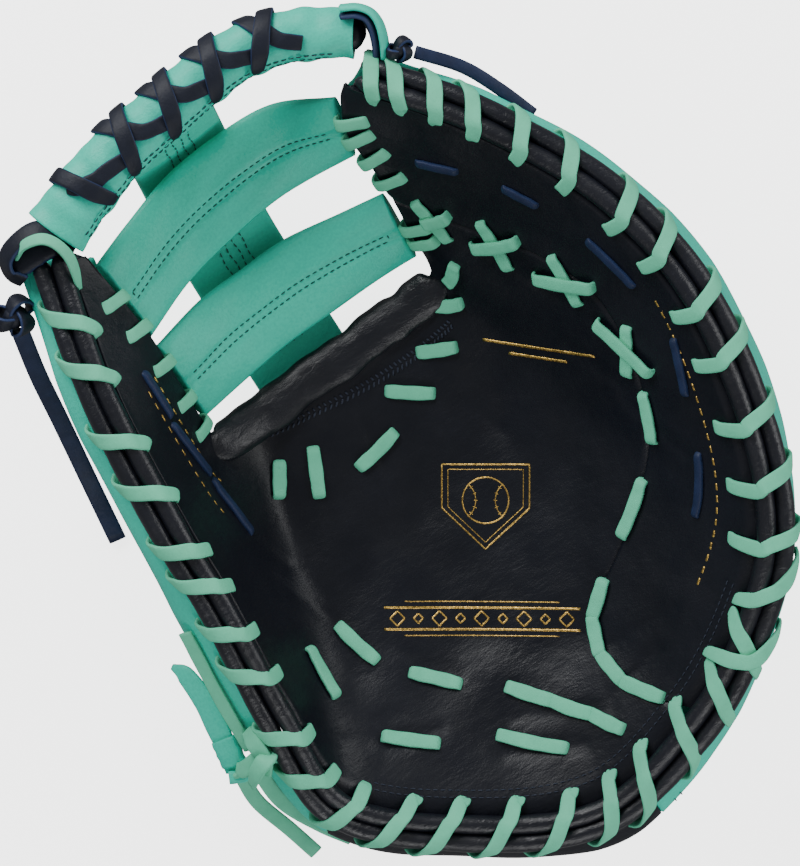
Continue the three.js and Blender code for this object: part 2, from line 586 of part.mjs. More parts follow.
// Web laces: from the palm over its web edge, tied to one run along that edge
const webEdge = [
  { name: 'web_lace_thumb', slant: 0.012, from: 0.025, to: 0.178, at: [0.035, 0.065, 0.100, 0.135, 0.165] },
  { name: 'web_lace_fingers', slant: -0.008, from: 0.955, to: 0.690, at: [0.700, 0.735, 0.845, 0.885, 0.920, 0.950] },
];
const overWebEdge = [
  { toWeb: -8.5, off: 1.9 },
  { toWeb: -3.0, off: 1.9 },
  { toWeb: 1.8, off: 1.9 },
  { toWeb: 3.4, off: -0.6 },
  { toWeb: 3.4, off: -3.0 },
];
const webRun = { toWeb: 3.0, off: -0.8, wide: 1.4, deep: 2 };
function atWebEdge(along, toWeb, off) {
  const run = stationAt(along + 0.006).web.sub(stationAt(along - 0.006).web).normalize();
  const face = normalOf(palmAt, along, 0);
  const away = new THREE.Vector3().crossVectors(face, run).normalize();
  if (away.dot(stationAt(along).web.sub(stationAt(along).rim)) < 0) away.negate();
  const point = stationAt(along).web.addScaledVector(away, toWeb).addScaledVector(face, off);
  return { point, face, away };
}
function webLoop(at, slant) {
  const points = [];
  const faces = [];
  overWebEdge.forEach(({ toWeb, off }, i) => {
    const { point, face, away } = atWebEdge(at + (slant * i) / 4, toWeb, off);
    points.push(point);
    faces.push(face.multiplyScalar(4 - i).addScaledVector(away, Math.max(i - 1, 0)).normalize());
  });
  return lace(points, faces, stitchLaceWidth, laceThick);
}
for (const { name, slant, from, to, at } of webEdge) {
  const run = steps(from, to, 14).map((s) => atWebEdge(s, webRun.toWeb, webRun.off));
  const core = lace(run.map(({ point }) => point), run.map(({ face }) => face), webRun.wide, webRun.deep);
  place(name, united([core, ...at.map((s) => webLoop(s, slant))]), mintLace);
}

// Crown lace: flat crossings over the sleeve, by share of its length and angle round it
const crownCross = [
  { from: [0.18, 35], to: [0.24, 125] }, { from: [0.24, 125], to: [0.34, 35] },
  { from: [0.34, 35], to: [0.42, 125] }, { from: [0.42, 125], to: [0.52, 35] }, { from: [0.52, 35], to: [0.60, 125] },
  { from: [0.60, 125], to: [0.70, 35] }, { from: [0.70, 35], to: [0.78, 125] }, { from: [0.78, 125], to: [0.88, 35] },
];
function onCrown({ from, to }) {
  const points = [];
  const faces = [];
  for (const k of steps(0, 1, 3)) {
    const t = from[0] + (to[0] - from[0]) * k;
    const angle = ((from[1] + (to[1] - from[1]) * k) * Math.PI) / 180;
    const p = crownLine.getPoint(t);
    const run = crownLine.getTangent(t);
    const side = new THREE.Vector3().crossVectors(run, new THREE.Vector3(0, 0, 1)).normalize().negate();
    const up = new THREE.Vector3().crossVectors(run, side).normalize();
    if (up.z < 0) up.negate();
    const away = crownWide(t) / 2 + gap + 0.5 + laceThick / 2;
    const high = crownHigh / 2 + gap + 0.5 + laceThick / 2;
    points.push(p.addScaledVector(side, Math.cos(angle) * away).addScaledVector(up, Math.sin(angle) * high));
    faces.push(side.clone().multiplyScalar(Math.cos(angle) / away).addScaledVector(up, Math.sin(angle) / high).normalize());
  }
  return lace(points, faces, laceWidth, laceThick);
}
place('crown_lace', united(crownCross.map(onCrown)), navyLace);

// Loose ends: flat cords with their routes, and the knots that they leave
const ends = [
  { name: 'thumb_lace_wrap', width: 8, look: navyLace, route: [
    [-0.230, 0.389, 1.022], [-0.273, 0.384, 1.022], [-0.321, 0.392, 1.010], [-0.368, 0.392, 0.930], [-0.392, 0.366, 0.880]] },
  { name: 'thumb_lace_tail', width: 7, look: navyLace, route: [
    [-0.415, 0.3215, 0.812], [-0.436, 0.273, 0.579], [-0.452, 0.221, 0.355], [-0.472, 0.150, 0.131], [-0.489, 0.072, 0.019]] },
  { name: 'finger_lace_tail', width: 5, look: navyLace, route: [
    [0.337, 0.3425, 0.944], [0.388, 0.302, 0.897], [0.420, 0.260, 0.841], [0.445, 0.219, 0.766]] },
  { name: 'wrist_tail_a', width: 6, look: mintLace, route: [
    [-0.508, -0.2265, 0.500], [-0.516, -0.268, 0.310], [-0.503, -0.318, 0.110], [-0.490, -0.360, 0.019]] },
  { name: 'wrist_tail_b', width: 6, look: mintLace, route: [
    [-0.4810, -0.2275, 0.502], [-0.484, -0.282, 0.290], [-0.458, -0.332, 0.110], [-0.428, -0.368, 0.019]] },
];
for (const { name, width, look, route } of ends) {
  const line = new THREE.CatmullRomCurve3(route.map((p) => share(...p))).getPoints(10);
  place(name, rod(line, width, 2, 6), look);
}
// Wrist lace: flat on the outside of the thumb back, just under its edge
const wristRun = { from: 0.186, to: 0.2695, out: 0.88 };
const wristPoints = steps(wristRun.from, wristRun.to, 10).map((s) => {
  const n = normalOf(backAt, s, wristRun.out);
  return { point: backAt(s, wristRun.out).addScaledVector(n, -(laceThick / 2 + gap)), face: n };
});
place('wrist_lace', lace(wristPoints.map(({ point }) => point), wristPoints.map(({ face }) => face), 7, laceThick), mintLace);

const knotsTied = [
  { name: 'thumb_knot', centre: [-0.409, 0.336, 0.841], wide: 15, long: 13, high: 10, look: navyLace },
  { name: 'finger_knot', centre: [0.319, 0.353, 0.953], wide: 11, long: 9, high: 8, look: navyLace },
  { name: 'wrist_knot', centre: [-0.4955, -0.213, 0.548], wide: 17, long: 14, high: 12, look: mintLace },
];
for (const { name, centre, wide, long, high, look } of knotsTied) {
  const ball = mergeVertices(new THREE.IcosahedronGeometry(0.5, 1).deleteAttribute('uv').deleteAttribute('normal'), 1e-4);
  ball.scale(wide, long, high);
  const c = share(...centre);
  ball.translate(c.x, c.y, c.z);
  ball.computeVertexNormals();
  place(name, ball, look);
}

// The whole stands with the middle of its floor box at the origin
group.updateMatrixWorld(true);
const box = new THREE.Box3().setFromObject(group);
for (const mesh of group.children) {
  mesh.geometry.translate(-(box.min.x + box.max.x) / 2, -(box.min.y + box.max.y) / 2, -box.min.z);
}

export default group;
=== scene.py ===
"""First baseman mitt of navy and mint leather, lying on its back with the pocket up.

Laid out as an add-on: one operator for each piece or group of like pieces, and one for the stage.
The mitt's plan is in millimetres, with +Y from the heel to the web, +X to the finger side and +Z out
of the pocket. It becomes metres where a mesh is made, in the same frame as the packed part.
"""
import math

import bmesh
import bpy
import numpy as np
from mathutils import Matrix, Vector
from mathutils.bvhtree import BVHTree


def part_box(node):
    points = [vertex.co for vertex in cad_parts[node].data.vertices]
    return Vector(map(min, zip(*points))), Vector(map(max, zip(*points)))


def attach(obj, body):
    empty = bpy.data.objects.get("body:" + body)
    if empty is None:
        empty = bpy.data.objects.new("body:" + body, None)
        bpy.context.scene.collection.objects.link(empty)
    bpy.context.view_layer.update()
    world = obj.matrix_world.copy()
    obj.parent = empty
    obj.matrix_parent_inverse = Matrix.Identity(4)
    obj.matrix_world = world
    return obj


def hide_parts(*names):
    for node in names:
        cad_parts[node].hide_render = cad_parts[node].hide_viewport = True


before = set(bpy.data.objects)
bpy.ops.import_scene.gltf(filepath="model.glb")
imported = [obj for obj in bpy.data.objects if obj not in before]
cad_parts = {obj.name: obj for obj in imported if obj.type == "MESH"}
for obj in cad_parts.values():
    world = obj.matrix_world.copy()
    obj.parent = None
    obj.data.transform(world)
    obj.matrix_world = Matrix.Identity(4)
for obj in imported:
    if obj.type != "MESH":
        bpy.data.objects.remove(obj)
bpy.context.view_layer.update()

bl_info = {
    "name": "First Baseman Mitt",
    "version": (1, 0, 0),
    "blender": (4, 5, 0),
    "location": "View3D > Sidebar > Mitt",
    "description": "Builds a laced leather first baseman mitt around its packed frame",
    "category": "Add Mesh",
}

MM = 0.001
# The photograph's right and up, in plan
PHOTO_RIGHT = np.array([.843, -.537])
PHOTO_UP = np.array([.537, .843])
# Its middle in pixels, and millimetres for a pixel at one height
PHOTO_MIDDLE = (400, 433)
PIXEL = .385
PIXEL_HEIGHT = 50
CAMERA_HIGH = 1550.0
UP = np.array([0.0, 0.0, 1.0])

# Named sizes of the mitt, in millimetres
MITT = np.array([240.0, 340.0, 107.0])
PALM_EDGE = 7.0
BACK_EDGE = 7.6
BACK_EDGE_DROP = 4.4
REST_FLAT = 2.5
POCKET_DIP = 6.0
PALM_TUCK = 4.6
PALM_UNDER = 3.2
SEAM_SINK = 2.9
ROLL_SPACING = 7.0
REAR_ROLL_DROP = 1.5
CROWN_HIGH = 15.0
WELD = 0.002
CROWN_HALF_WIDE = 12.0
CROWN_NARROWS = 2.5
CROWN_WALL = 2.2
MOUTH_THICK = 2.0
LINING_THICK = 1.8
CROTCH_SIZE = (17.0, 7.8)
CROTCH_RUN = (.185, .600)
CROTCH_TAPER = .045
CROTCH_OFFSET = -3.6
CROTCH_STITCHES = 46
BAR_THICK = 5.0
BAR_CROWN = 1.2
BAR_STITCH_ROWS = (.50, .58)
POST_WIDE = 38.0
POST_THICK = 2.6
WRAP_WIDE = 8.0
WRAP_THICK = 2.0
WRIST_RUN_WIDE = 5.8
WRIST_RUN_LIFT = 2.5
TAIL_THICK = 1.9

# One row for each station of the horseshoe: rim x y z, web x y z and belly as shares of the mitt,
# then bulge in millimetres, bow, and slot in millimetres
STATIONS = np.array([
    (-.314, .371, .907, -.264, .347, .869, .770, 12, 1.0, 12),
    (-.366, .205, .944, -.249, .241, .738, .540, 13, 1.0, 11),
    (-.386, .034, .897, -.254, .138, .542, .315, 14, 1.3, 12),
    (-.389, -.046, .850, -.250, .111, .439, .200, 16, 1.7, 13),
    (-.408, -.195, .701, -.175, .112, .346, .055, 15, 2.2, 14),
    (-.405, -.323, .551, -.091, .117, .318, 0, 10, 2.4, 14),
    (-.237, -.431, .486, .005, .120, .308, 0, 8, 2.4, 14),
    (-.045, -.490, .533, .082, .125, .318, 0, 11, 2.4, 14),
    (.144, -.458, .673, .142, .127, .346, 0, 10, 2.3, 14),
    (.284, -.402, .794, .177, .132, .383, 0, 7, 2.2, 14),
    (.400, -.325, .897, .186, .149, .421, .050, 6, 2.1, 13),
    (.471, -.208, .963, .185, .178, .486, .205, 10, 2.0, 12),
    (.507, -.047, 1.0, .189, .216, .579, .355, 11, 1.8, 12),
    (.471, .101, 1.0, .188, .256, .692, .470, 11, 1.5, 12),
    (.377, .235, .981, .182, .309, .804, .620, 10, 1.2, 11),
    (.270, .336, .953, .203, .346, .888, .770, 9, 1.0, 12),
    (.246, .358, .935, .217, .356, .907, .790, 9, 1.0, 12),
])

# The palm's seam with the finger panel: along the rim, out from the web, and the rim place across from it
SEAM = np.array([
    (.550, .995, .552), (.541, .96, .556), (.523, .86, .563), (.519, .79, .570), (.526, .73, .580),
    (.550, .70, .597), (.623, .68, .645), (.708, .70, .712), (.748, .68, .752), (.770, .63, .782),
    (.787, .50, .806), (.793, .29, .826), (.798, .12, .845), (.808, .0, .862), (.870, .0, .905),
    (.930, .0, .950), (1.0, .0, 1.0),
])
# The rows that are sewn to the palm; those after them follow the web's edge
SEAM_ROWS = 14

# Broad folds: both ends as shares of width and length, depth and half width in millimetres
FOLDS = (
    ((-.21, .08), (-.28, -.20), 2.2, 11), ((.02, .07), (-.10, -.22), 1.8, 14),
    ((-.06, -.25), (.10, -.33), 1.6, 12), ((.24, .06), (.30, -.16), 1.8, 13),
)
# Fine creases, in the same columns
CREASES = (
    ((-.30, -.29), (-.20, -.31), .8, 2.6), ((-.33, -.25), (-.24, -.27), .6, 2.0),
    ((-.14, -.37), (-.02, -.41), .9, 3.0), ((-.10, -.34), (.05, -.39), .6, 2.2),
    ((.06, -.38), (.16, -.36), .8, 2.6), ((.10, -.33), (.22, -.33), .5, 2.2),
    ((-.31, .03), (-.27, -.06), .6, 2.2), ((-.30, -.06), (-.25, -.15), .5, 2.0),
    ((.30, -.02), (.35, -.11), .6, 2.4), ((.33, -.10), (.36, -.19), .6, 2.4),
    ((.27, .12), (.33, .03), .5, 2.2), ((-.04, .04), (-.05, -.03), .4, 2.4),
    ((.10, .02), (.14, -.06), .4, 2.6), ((-.20, -.20), (-.13, -.27), .5, 2.8),
)
# Slow unevenness: wave vector in turns for each metre along x and y, phase, height in millimetres
RIPPLES = (
    (19, 7, .4, .28), (-11, 23, 1.7, .25), (31, -17, 2.9, .16), (9, -38, 4.1, .14), (47, 29, 5.3, .08),
)


def smooth(a, b, x):
    t = np.clip((np.asarray(x, float) - a) / (b - a), 0, 1)
    return t * t * (3 - 2 * t)


def unit(v):
    return v / np.maximum(np.linalg.norm(v, axis=-1, keepdims=True), 1e-9)


COLUMNS = STATIONS.copy()
COLUMNS[:, 0:3] *= MITT
COLUMNS[:, 3:6] *= MITT
COLUMNS[:, 6] *= MITT[2]
KNOTS = np.concatenate([[0], np.cumsum(np.hypot(*np.diff(COLUMNS[:, :2], axis=0).T))])
RIM_LENGTH = KNOTS[-1]
KNOTS = KNOTS / RIM_LENGTH
LAST = len(KNOTS) - 1
BEFORE = np.maximum(np.arange(LAST + 1) - 1, 0)
AFTER = np.minimum(np.arange(LAST + 1) + 1, LAST)
SLOPES = (COLUMNS[AFTER] - COLUMNS[BEFORE]) / (KNOTS[AFTER] - KNOTS[BEFORE])[:, None]


def station_at(along):
    """The table's columns anywhere along the rim."""
    s = np.clip(np.asarray(along, float), 0, 1)
    k = np.clip(np.searchsorted(KNOTS, s, side="right") - 1, 0, LAST - 1)
    h = (KNOTS[k + 1] - KNOTS[k])[..., None]
    t = (s - KNOTS[k])[..., None] / h
    c = (2 * t**3 - 3 * t**2 + 1) * COLUMNS[k] + (t**3 - 2 * t**2 + t) * h * SLOPES[k]
    c = c + (3 * t**2 - 2 * t**3) * COLUMNS[k + 1] + (t**3 - t**2) * h * SLOPES[k + 1]
    c[..., 6] = np.maximum(c[..., 6], 0)
    c[..., 8] = np.maximum(c[..., 8], 1)
    return c


def outward_at(along):
    """Direction out of the mitt in plan, square to the rim."""
    along = np.asarray(along, float)
    run = station_at(along + .004)[..., 0:2] - station_at(along - .004)[..., 0:2]
    run = unit(run)
    return np.stack([run[..., 1], -run[..., 0], np.zeros_like(run[..., 0])], -1)


def line_distance(x, y, a, b):
    """Distance in plan from points to a straight line."""
    dx, dy = b[0] - a[0], b[1] - a[1]
    t = np.clip(((x - a[0]) * dx + (y - a[1]) * dy) / (dx * dx + dy * dy), 0, 1)
    return np.hypot(x - a[0] - dx * t, y - a[1] - dy * t)


def fold_depth(x, y, rows):
    depth = np.zeros_like(x)
    for start, end, deep, half in rows:
        d = line_distance(x, y, np.multiply(start, MITT[:2]), np.multiply(end, MITT[:2]))
        depth += deep * np.exp(-((d / half) ** 2))
    return depth


def palm_at(along, out):
    """Front face of the palm leather without its fine creases."""
    along, out = np.broadcast_arrays(np.asarray(along, float), np.asarray(out, float))
    c = station_at(along)
    rim, web = c[..., 0:3], c[..., 3:6]
    edge = rim - PALM_EDGE * outward_at(along)
    p = web + (edge - web) * out[..., None]
    rise = np.maximum(out, 0) ** c[..., 8]
    p[..., 2] = web[..., 2] + (rim[..., 2] - web[..., 2]) * rise
    in_pocket = smooth(.2, .3, along) * (1 - smooth(.52, .68, along))
    p[..., 2] -= POCKET_DIP * in_pocket * np.sin(math.pi * np.clip(out, 0, 1))
    inside = smooth(0, .08, out) * (1 - smooth(.92, 1, out))
    p[..., 2] -= fold_depth(p[..., 0], p[..., 1], FOLDS) * inside
    return p


def skin_at(along, out):
    """Front face of the palm leather with creases, ripples and its edge tucked under the roll."""
    along, out = np.broadcast_arrays(np.asarray(along, float), np.asarray(out, float))
    p = palm_at(along, out)
    x, y = p[..., 0], p[..., 1]
    relief = -fold_depth(x, y, CREASES)
    for kx, ky, phase, high in RIPPLES:
        relief = relief + high * np.sin(2 * math.pi * (kx * x + ky * y) * MM + phase)
    p[..., 2] += relief * smooth(0, .1, out) * (1 - smooth(.9, 1, out))
    tuck = smooth(.965, 1.02, out)
    p[..., 2] -= PALM_TUCK * tuck
    return p + outward_at(along) * (PALM_UNDER * tuck)[..., None]


# Section of the back leather from the web to the rim: how far out, how high, and what each follows
BACK_SECTION = ((.02, 1.0, "slot"), (.12, .08, "slot"), (.52, 0, "belly"), (.85, .30, "belly"),
                (1.0, .68, "bulge"), (1.0, 1.0, "edge"))


def back_at(along, out):
    """Outside face of the back leather."""
    along, out = np.broadcast_arrays(np.asarray(along, float), np.asarray(out, float))
    c = station_at(along)
    rim, web = c[..., 0:3], c[..., 3:6]
    outward = outward_at(along)
    belly = c[..., 6]
    keys = []
    for reach, rise, follows in BACK_SECTION:
        beyond = {"slot": 0 * belly, "belly": 0 * belly, "bulge": c[..., 7], "edge": BACK_EDGE + 0 * belly}
        p = web + (rim - web) * reach + outward * beyond[follows][..., None]
        tall = web[..., 2] - c[..., 9] - belly if follows == "slot" else rim[..., 2] - belly
        p[..., 2] = rim[..., 2] - BACK_EDGE_DROP if follows == "edge" else belly + tall * rise
        keys.append(p)
    keys = np.stack(keys, 0)
    last = len(keys) - 1
    x = np.clip(out, 0, 1) * last
    k = np.minimum(np.floor(x).astype(int), last - 1)
    t = (x - k)[..., None]

    def pick(i):
        i = np.clip(i, 0, last)
        return np.take_along_axis(keys, i[None, ..., None], 0)[0]

    p = pick(k - 1) * (-t + 2 * t * t - t**3) / 2 + pick(k) * (2 - 5 * t * t + 3 * t**3) / 2
    p = p + pick(k + 1) * (t + 4 * t * t - 3 * t**3) / 2 + pick(k + 2) * (t**3 - t * t) / 2
    p[..., 2] = np.maximum(p[..., 2] - REST_FLAT, 0)
    return p


def normal_of(surface, along, out):
    along, out = np.asarray(along), np.asarray(out)
    du = surface(along + .004, out) - surface(along - .004, out)
    dv = surface(along, np.minimum(out + .02, 1)) - surface(along, np.maximum(out - .02, 0))
    return unit(np.cross(dv, du))


def rim_point(along, outward, up):
    p = station_at(along)[..., 0:3] + outward_at(along) * np.asarray(outward)[..., None]
    p[..., 2] += up
    return p


def spline(points, each=6):
    """Smooth line through a few points."""
    p = np.asarray(points, float)
    p = np.vstack([2 * p[:1] - p[1:2], p, 2 * p[-1:] - p[-2:-1]])
    made = []
    for i in range(len(p) - 3):
        a, b, c, d = p[i:i + 4]
        for t in np.linspace(0, 1, each, endpoint=False):
            made.append(.5 * (2 * b + (c - a) * t + (2 * a - 5 * b + 4 * c - d) * t * t
                              + (3 * b - a - 3 * c + d) * t**3))
    made.append(p[-2])
    return np.array(made)


def distances(points):
    """Distance from the start of a line at each of its points."""
    return np.concatenate([[0], np.cumsum(np.linalg.norm(np.diff(points, axis=0), axis=1))])


def read_off(goal, at, rows):
    """A table's columns between its rows, which stand at known places."""
    return np.stack([np.interp(goal, at, rows[:, i]) for i in range(rows.shape[1])], -1)


def resample(points, count):
    """The same line with evenly spaced points."""
    p = np.asarray(points, float)
    at = distances(p)
    return read_off(np.linspace(0, at[-1], count), at, p)


def upright(line):
    """Side and up directions of a bar that runs along a line."""
    run = unit(np.gradient(line, axis=0))
    side = unit(np.cross(run, UP + 0 * run))
    return side, np.cross(side, run)


def length_of(points):
    return float(np.linalg.norm(np.diff(points, axis=0), axis=1).sum())


KNOT_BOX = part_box("thumb_knot")
KNOT_CENTRE = np.array([-.409, .336, .841]) * MITT
SHIFT = np.array([(KNOT_BOX[0][i] + KNOT_BOX[1][i]) / 2 / MM - KNOT_CENTRE[i] for i in (0, 1)] + [0.0])


class Shape:
    """Points and faces of one piece, in the plan's millimetres, with a cut-edge share for each point."""

    def __init__(self):
        self.points, self.faces, self.cut, self.count = [], [], [], 0

    def add(self, points, faces, cut=None):
        points = np.asarray(points, float).reshape(-1, 3)
        self.points.append(points)
        self.faces.extend([tuple(i + self.count for i in face) for face in faces])
        self.cut.append(np.zeros(len(points)) if cut is None else np.asarray(cut, float).ravel())
        self.count += len(points)

    def grid(self, points, cut=None, flip=False):
        rows, cols = points.shape[:2]
        i, j = np.meshgrid(np.arange(rows - 1), np.arange(cols - 1), indexing="ij")
        a = (i * cols + j).ravel()
        quads = np.stack([a, a + 1, a + cols + 1, a + cols], 1)
        if flip:
            quads = quads[:, ::-1]
        self.add(points, quads.tolist(), cut)

    def slab(self, front, normals, thick, round_edge=.35):
        """Leather of one thickness with softly rounded cut edges."""
        rear = front - normals * thick
        rows, cols = front.shape[:2]
        size = rows * cols
        ring = [(0, j) for j in range(cols)] + [(i, cols - 1) for i in range(1, rows)]
        ring += [(rows - 1, j) for j in range(cols - 2, -1, -1)] + [(i, 0) for i in range(rows - 2, 0, -1)]
        inner = [(min(max(i, 1), rows - 2), min(max(j, 1), cols - 2)) for i, j in ring]
        middle = (front + rear) / 2
        ri = tuple(np.array(ring).T)
        away = unit(middle[ri] - middle[tuple(np.array(inner).T)])
        bulge = middle[ri] + away * thick * round_edge
        points = np.vstack([front.reshape(-1, 3), rear.reshape(-1, 3), bulge])
        a = np.arange(size).reshape(rows, cols)
        quads = np.stack([a[:-1, :-1], a[:-1, 1:], a[1:, 1:], a[1:, :-1]], -1).reshape(-1, 4)
        faces = quads.tolist() + (quads[:, ::-1] + size).tolist()
        flat = [i * cols + j for i, j in ring]
        for n in range(len(ring)):
            m = (n + 1) % len(ring)
            b, c = 2 * size + n, 2 * size + m
            faces.append((flat[m], flat[n], b, c))
            faces.append((c, b, size + flat[n], size + flat[m]))
        cut = np.zeros(len(points))
        cut[2 * size:] = 1
        self.add(points, faces, cut)

    def tube(self, centre, side, up, wide, high, sides=16, power=1.0, cut_from=2.0):
        """Closed bar with an oval section along a line; cut_from marks the raw side edges."""
        n = len(centre)
        wide = np.broadcast_to(np.asarray(wide, float), (n,))
        high = np.broadcast_to(np.asarray(high, float), (n,))
        angle = 2 * math.pi * (np.arange(sides) + .5) / sides
        a = np.sign(np.cos(angle)) * np.abs(np.cos(angle)) ** power / 2
        b = np.sign(np.sin(angle)) * np.abs(np.sin(angle)) ** power / 2
        ring = centre[:, None] + side[:, None] * (wide[:, None] * a)[..., None]
        ring = ring + up[:, None] * (high[:, None] * b)[..., None]
        i, j = np.meshgrid(np.arange(n - 1), np.arange(sides), indexing="ij")
        p, q = (i * sides + j).ravel(), (i * sides + (j + 1) % sides).ravel()
        faces = np.stack([p, q, q + sides, p + sides], 1).tolist()
        faces.append(tuple(range(sides - 1, -1, -1)))
        faces.append(tuple(range((n - 1) * sides, n * sides)))
        cut = np.tile((np.abs(a) * 2 > cut_from).astype(float), n)
        self.add(ring, faces, cut)

    def lace(self, points, faces, wide, thick, each=5, sides=12):
        """Flat rawhide lace through a few points, its face turned by the given directions."""
        p, f = spline(points, each), spline(faces, each)
        run = unit(np.gradient(p, axis=0))
        up = unit(f - run * np.sum(f * run, 1, keepdims=True))
        side = np.cross(run, up)
        along = np.linspace(0, 1, len(p))
        wide = np.interp(along, np.linspace(0, 1, len(wide)), wide) if np.ndim(wide) else wide
        wide = wide * (1 + .03 * np.sin(along * 17 + p[0, 0]))
        self.tube(p, side, up, wide, thick, sides, .55, .92)


def shared_material(name, build, *args):
    """The named material, built when it is first asked for."""
    return bpy.data.materials.get(name) or build(name, *args)


def new_material(name):
    mat = bpy.data.materials.new(name)
    mat.use_nodes = True
    tree = mat.node_tree
    shader = tree.nodes["Principled BSDF"]
    return mat, tree, shader


def add_node(tree, kind, **values):
    node = tree.nodes.new(kind)
    for key, value in values.items():
        if key in node.inputs:
            node.inputs[key].default_value = value
        else:
            setattr(node, key, value)
    return node


def noise(tree, vector, scale, detail=3.0, rough=.55):
    node = add_node(tree, "ShaderNodeTexNoise", Scale=scale, Detail=detail, Roughness=rough)
    tree.links.new(vector, node.inputs["Vector"])
    return node.outputs["Fac"]


def remap(tree, value, low, high, to_low, to_high):
    node = tree.nodes.new("ShaderNodeMapRange")
    for i, number in enumerate((low, high, to_low, to_high), 1):
        node.inputs[i].default_value = number
    tree.links.new(value, node.inputs[0])
    return node.outputs[0]


def blend_colour(tree, share, first, second):
    node = add_node(tree, "ShaderNodeMix", data_type="RGBA")
    tree.links.new(share, node.inputs[0])
    for socket, value in ((6, first), (7, second)):
        if isinstance(value, tuple):
            node.inputs[socket].default_value = (*value, 1)
        else:
            tree.links.new(value, node.inputs[socket])
    return node.outputs[2]


def bump(tree, height, strength, distance, below=None):
    node = add_node(tree, "ShaderNodeBump", Strength=strength, Distance=distance)
    tree.links.new(height, node.inputs["Height"])
    if below:
        tree.links.new(below, node.inputs["Normal"])
    return node.outputs["Normal"]


def scaled(colour, share):
    """A colour made lighter or darker by one factor."""
    return tuple(min(c * share, 1.0) for c in colour)


def leather(name, colour, worn, rough, grain, wrinkle, raw, shine):
    """Smooth hide: fine pores, faint wrinkles, uneven dye, and a raw colour on cut edges."""
    mat, tree, shader = new_material(name)
    where = tree.nodes.new("ShaderNodeTexCoord").outputs["Object"]
    patch = remap(tree, noise(tree, where, 22, 4), .38, .68, 0, 1)
    dye = blend_colour(tree, patch, colour, scaled(colour, worn))
    speck = remap(tree, noise(tree, where, 900, 2), .35, .7, .0, .35)
    dye = blend_colour(tree, speck, dye, scaled(colour, .72))
    edge = add_node(tree, "ShaderNodeAttribute", attribute_name="cut")
    dye = blend_colour(tree, edge.outputs["Fac"], dye, scaled(colour, raw))
    tree.links.new(dye, shader.inputs["Base Color"])
    gloss = remap(tree, noise(tree, where, 60, 5), .3, .7, rough - .07, rough + .08)
    tree.links.new(gloss, shader.inputs["Roughness"])
    pores = add_node(tree, "ShaderNodeTexVoronoi", Scale=1300.0)
    tree.links.new(where, pores.inputs["Vector"])
    low = bump(tree, pores.outputs["Distance"], grain, .00022)
    stretched = add_node(tree, "ShaderNodeMapping")
    stretched.inputs["Scale"].default_value = (1.0, 2.6, 1.0)
    stretched.inputs["Rotation"].default_value = (0.0, 0.0, .5)
    tree.links.new(where, stretched.inputs["Vector"])
    lines = noise(tree, stretched.outputs["Vector"], 120, 6, .62)
    ridge = remap(tree, lines, .42, .60, 0, 1)
    mid = bump(tree, ridge, wrinkle, .0007, low)
    broad = bump(tree, noise(tree, where, 45, 3), .35, .0018, mid)
    tree.links.new(broad, shader.inputs["Normal"])
    shader.inputs["Specular IOR Level"].default_value = shine
    return mat


def lace_leather(name, colour, pale, raw, rough=.62):
    """Rawhide lace: matt face with a fibrous raw edge."""
    mat, tree, shader = new_material(name)
    where = tree.nodes.new("ShaderNodeTexCoord").outputs["Object"]
    patch = remap(tree, noise(tree, where, 140, 5), .32, .7, 0, 1)
    dye = blend_colour(tree, patch, colour, scaled(colour, pale))
    edge = add_node(tree, "ShaderNodeAttribute", attribute_name="cut")
    dye = blend_colour(tree, edge.outputs["Fac"], dye, raw)
    tree.links.new(dye, shader.inputs["Base Color"])
    shader.inputs["Roughness"].default_value = rough
    shader.inputs["Specular IOR Level"].default_value = .25
    fibres = noise(tree, where, 1500, 4, .7)
    fine = bump(tree, fibres, .35, .0003)
    tree.links.new(bump(tree, noise(tree, where, 260, 3), .3, .0008, fine), shader.inputs["Normal"])
    return mat


def thread(name, colour):
    mat, tree, shader = new_material(name)
    where = tree.nodes.new("ShaderNodeTexCoord").outputs["Object"]
    twist = add_node(tree, "ShaderNodeTexWave", Scale=1500.0, Distortion=1.0)
    tree.links.new(where, twist.inputs["Vector"])
    shader.inputs["Base Color"].default_value = (*colour, 1)
    shader.inputs["Roughness"].default_value = .55
    tree.links.new(bump(tree, twist.outputs["Fac"], .5, .0002), shader.inputs["Normal"])
    return mat


def foil(name, colour):
    """Gold stamping, worn thin in places."""
    mat, tree, shader = new_material(name)
    where = tree.nodes.new("ShaderNodeTexCoord").outputs["Object"]
    worn = remap(tree, noise(tree, where, 1100, 3), .42, .62, 0, 1)
    dye = blend_colour(tree, worn, colour, scaled(colour, .38))
    tree.links.new(dye, shader.inputs["Base Color"])
    shader.inputs["Metallic"].default_value = .85
    gloss = remap(tree, noise(tree, where, 700, 2), .3, .7, .25, .55)
    tree.links.new(gloss, shader.inputs["Roughness"])
    tree.links.new(bump(tree, noise(tree, where, 1700, 2), .6, .0003), shader.inputs["Normal"])
    return mat


def navy_leather(cfg):
    return shared_material("navy_hide", leather, tuple(cfg.navy), 1.35, .40, .20, .14, 2.8, .30)


def navy_roll(cfg):
    return shared_material("roll_hide", leather, tuple(cfg.roll), 1.45, .34, .18, .24, 2.0, .45)


def mint_leather(cfg):
    return shared_material("mint_hide", leather, tuple(cfg.mint), 1.08, .44, .22, .14, 1.1, .25)


def mint_lace(cfg):
    return shared_material("mint_rawhide", lace_leather, tuple(cfg.mint_lace), 1.12, tuple(cfg.mint_lace))


def navy_lace(cfg):
    return shared_material("navy_rawhide", lace_leather, tuple(cfg.navy_lace), 1.45, tuple(cfg.lace_edge), .5)


def blue_lace(cfg):
    return shared_material("blue_rawhide", lace_leather, tuple(cfg.blue_lace), 1.5, tuple(cfg.lace_edge), .5)


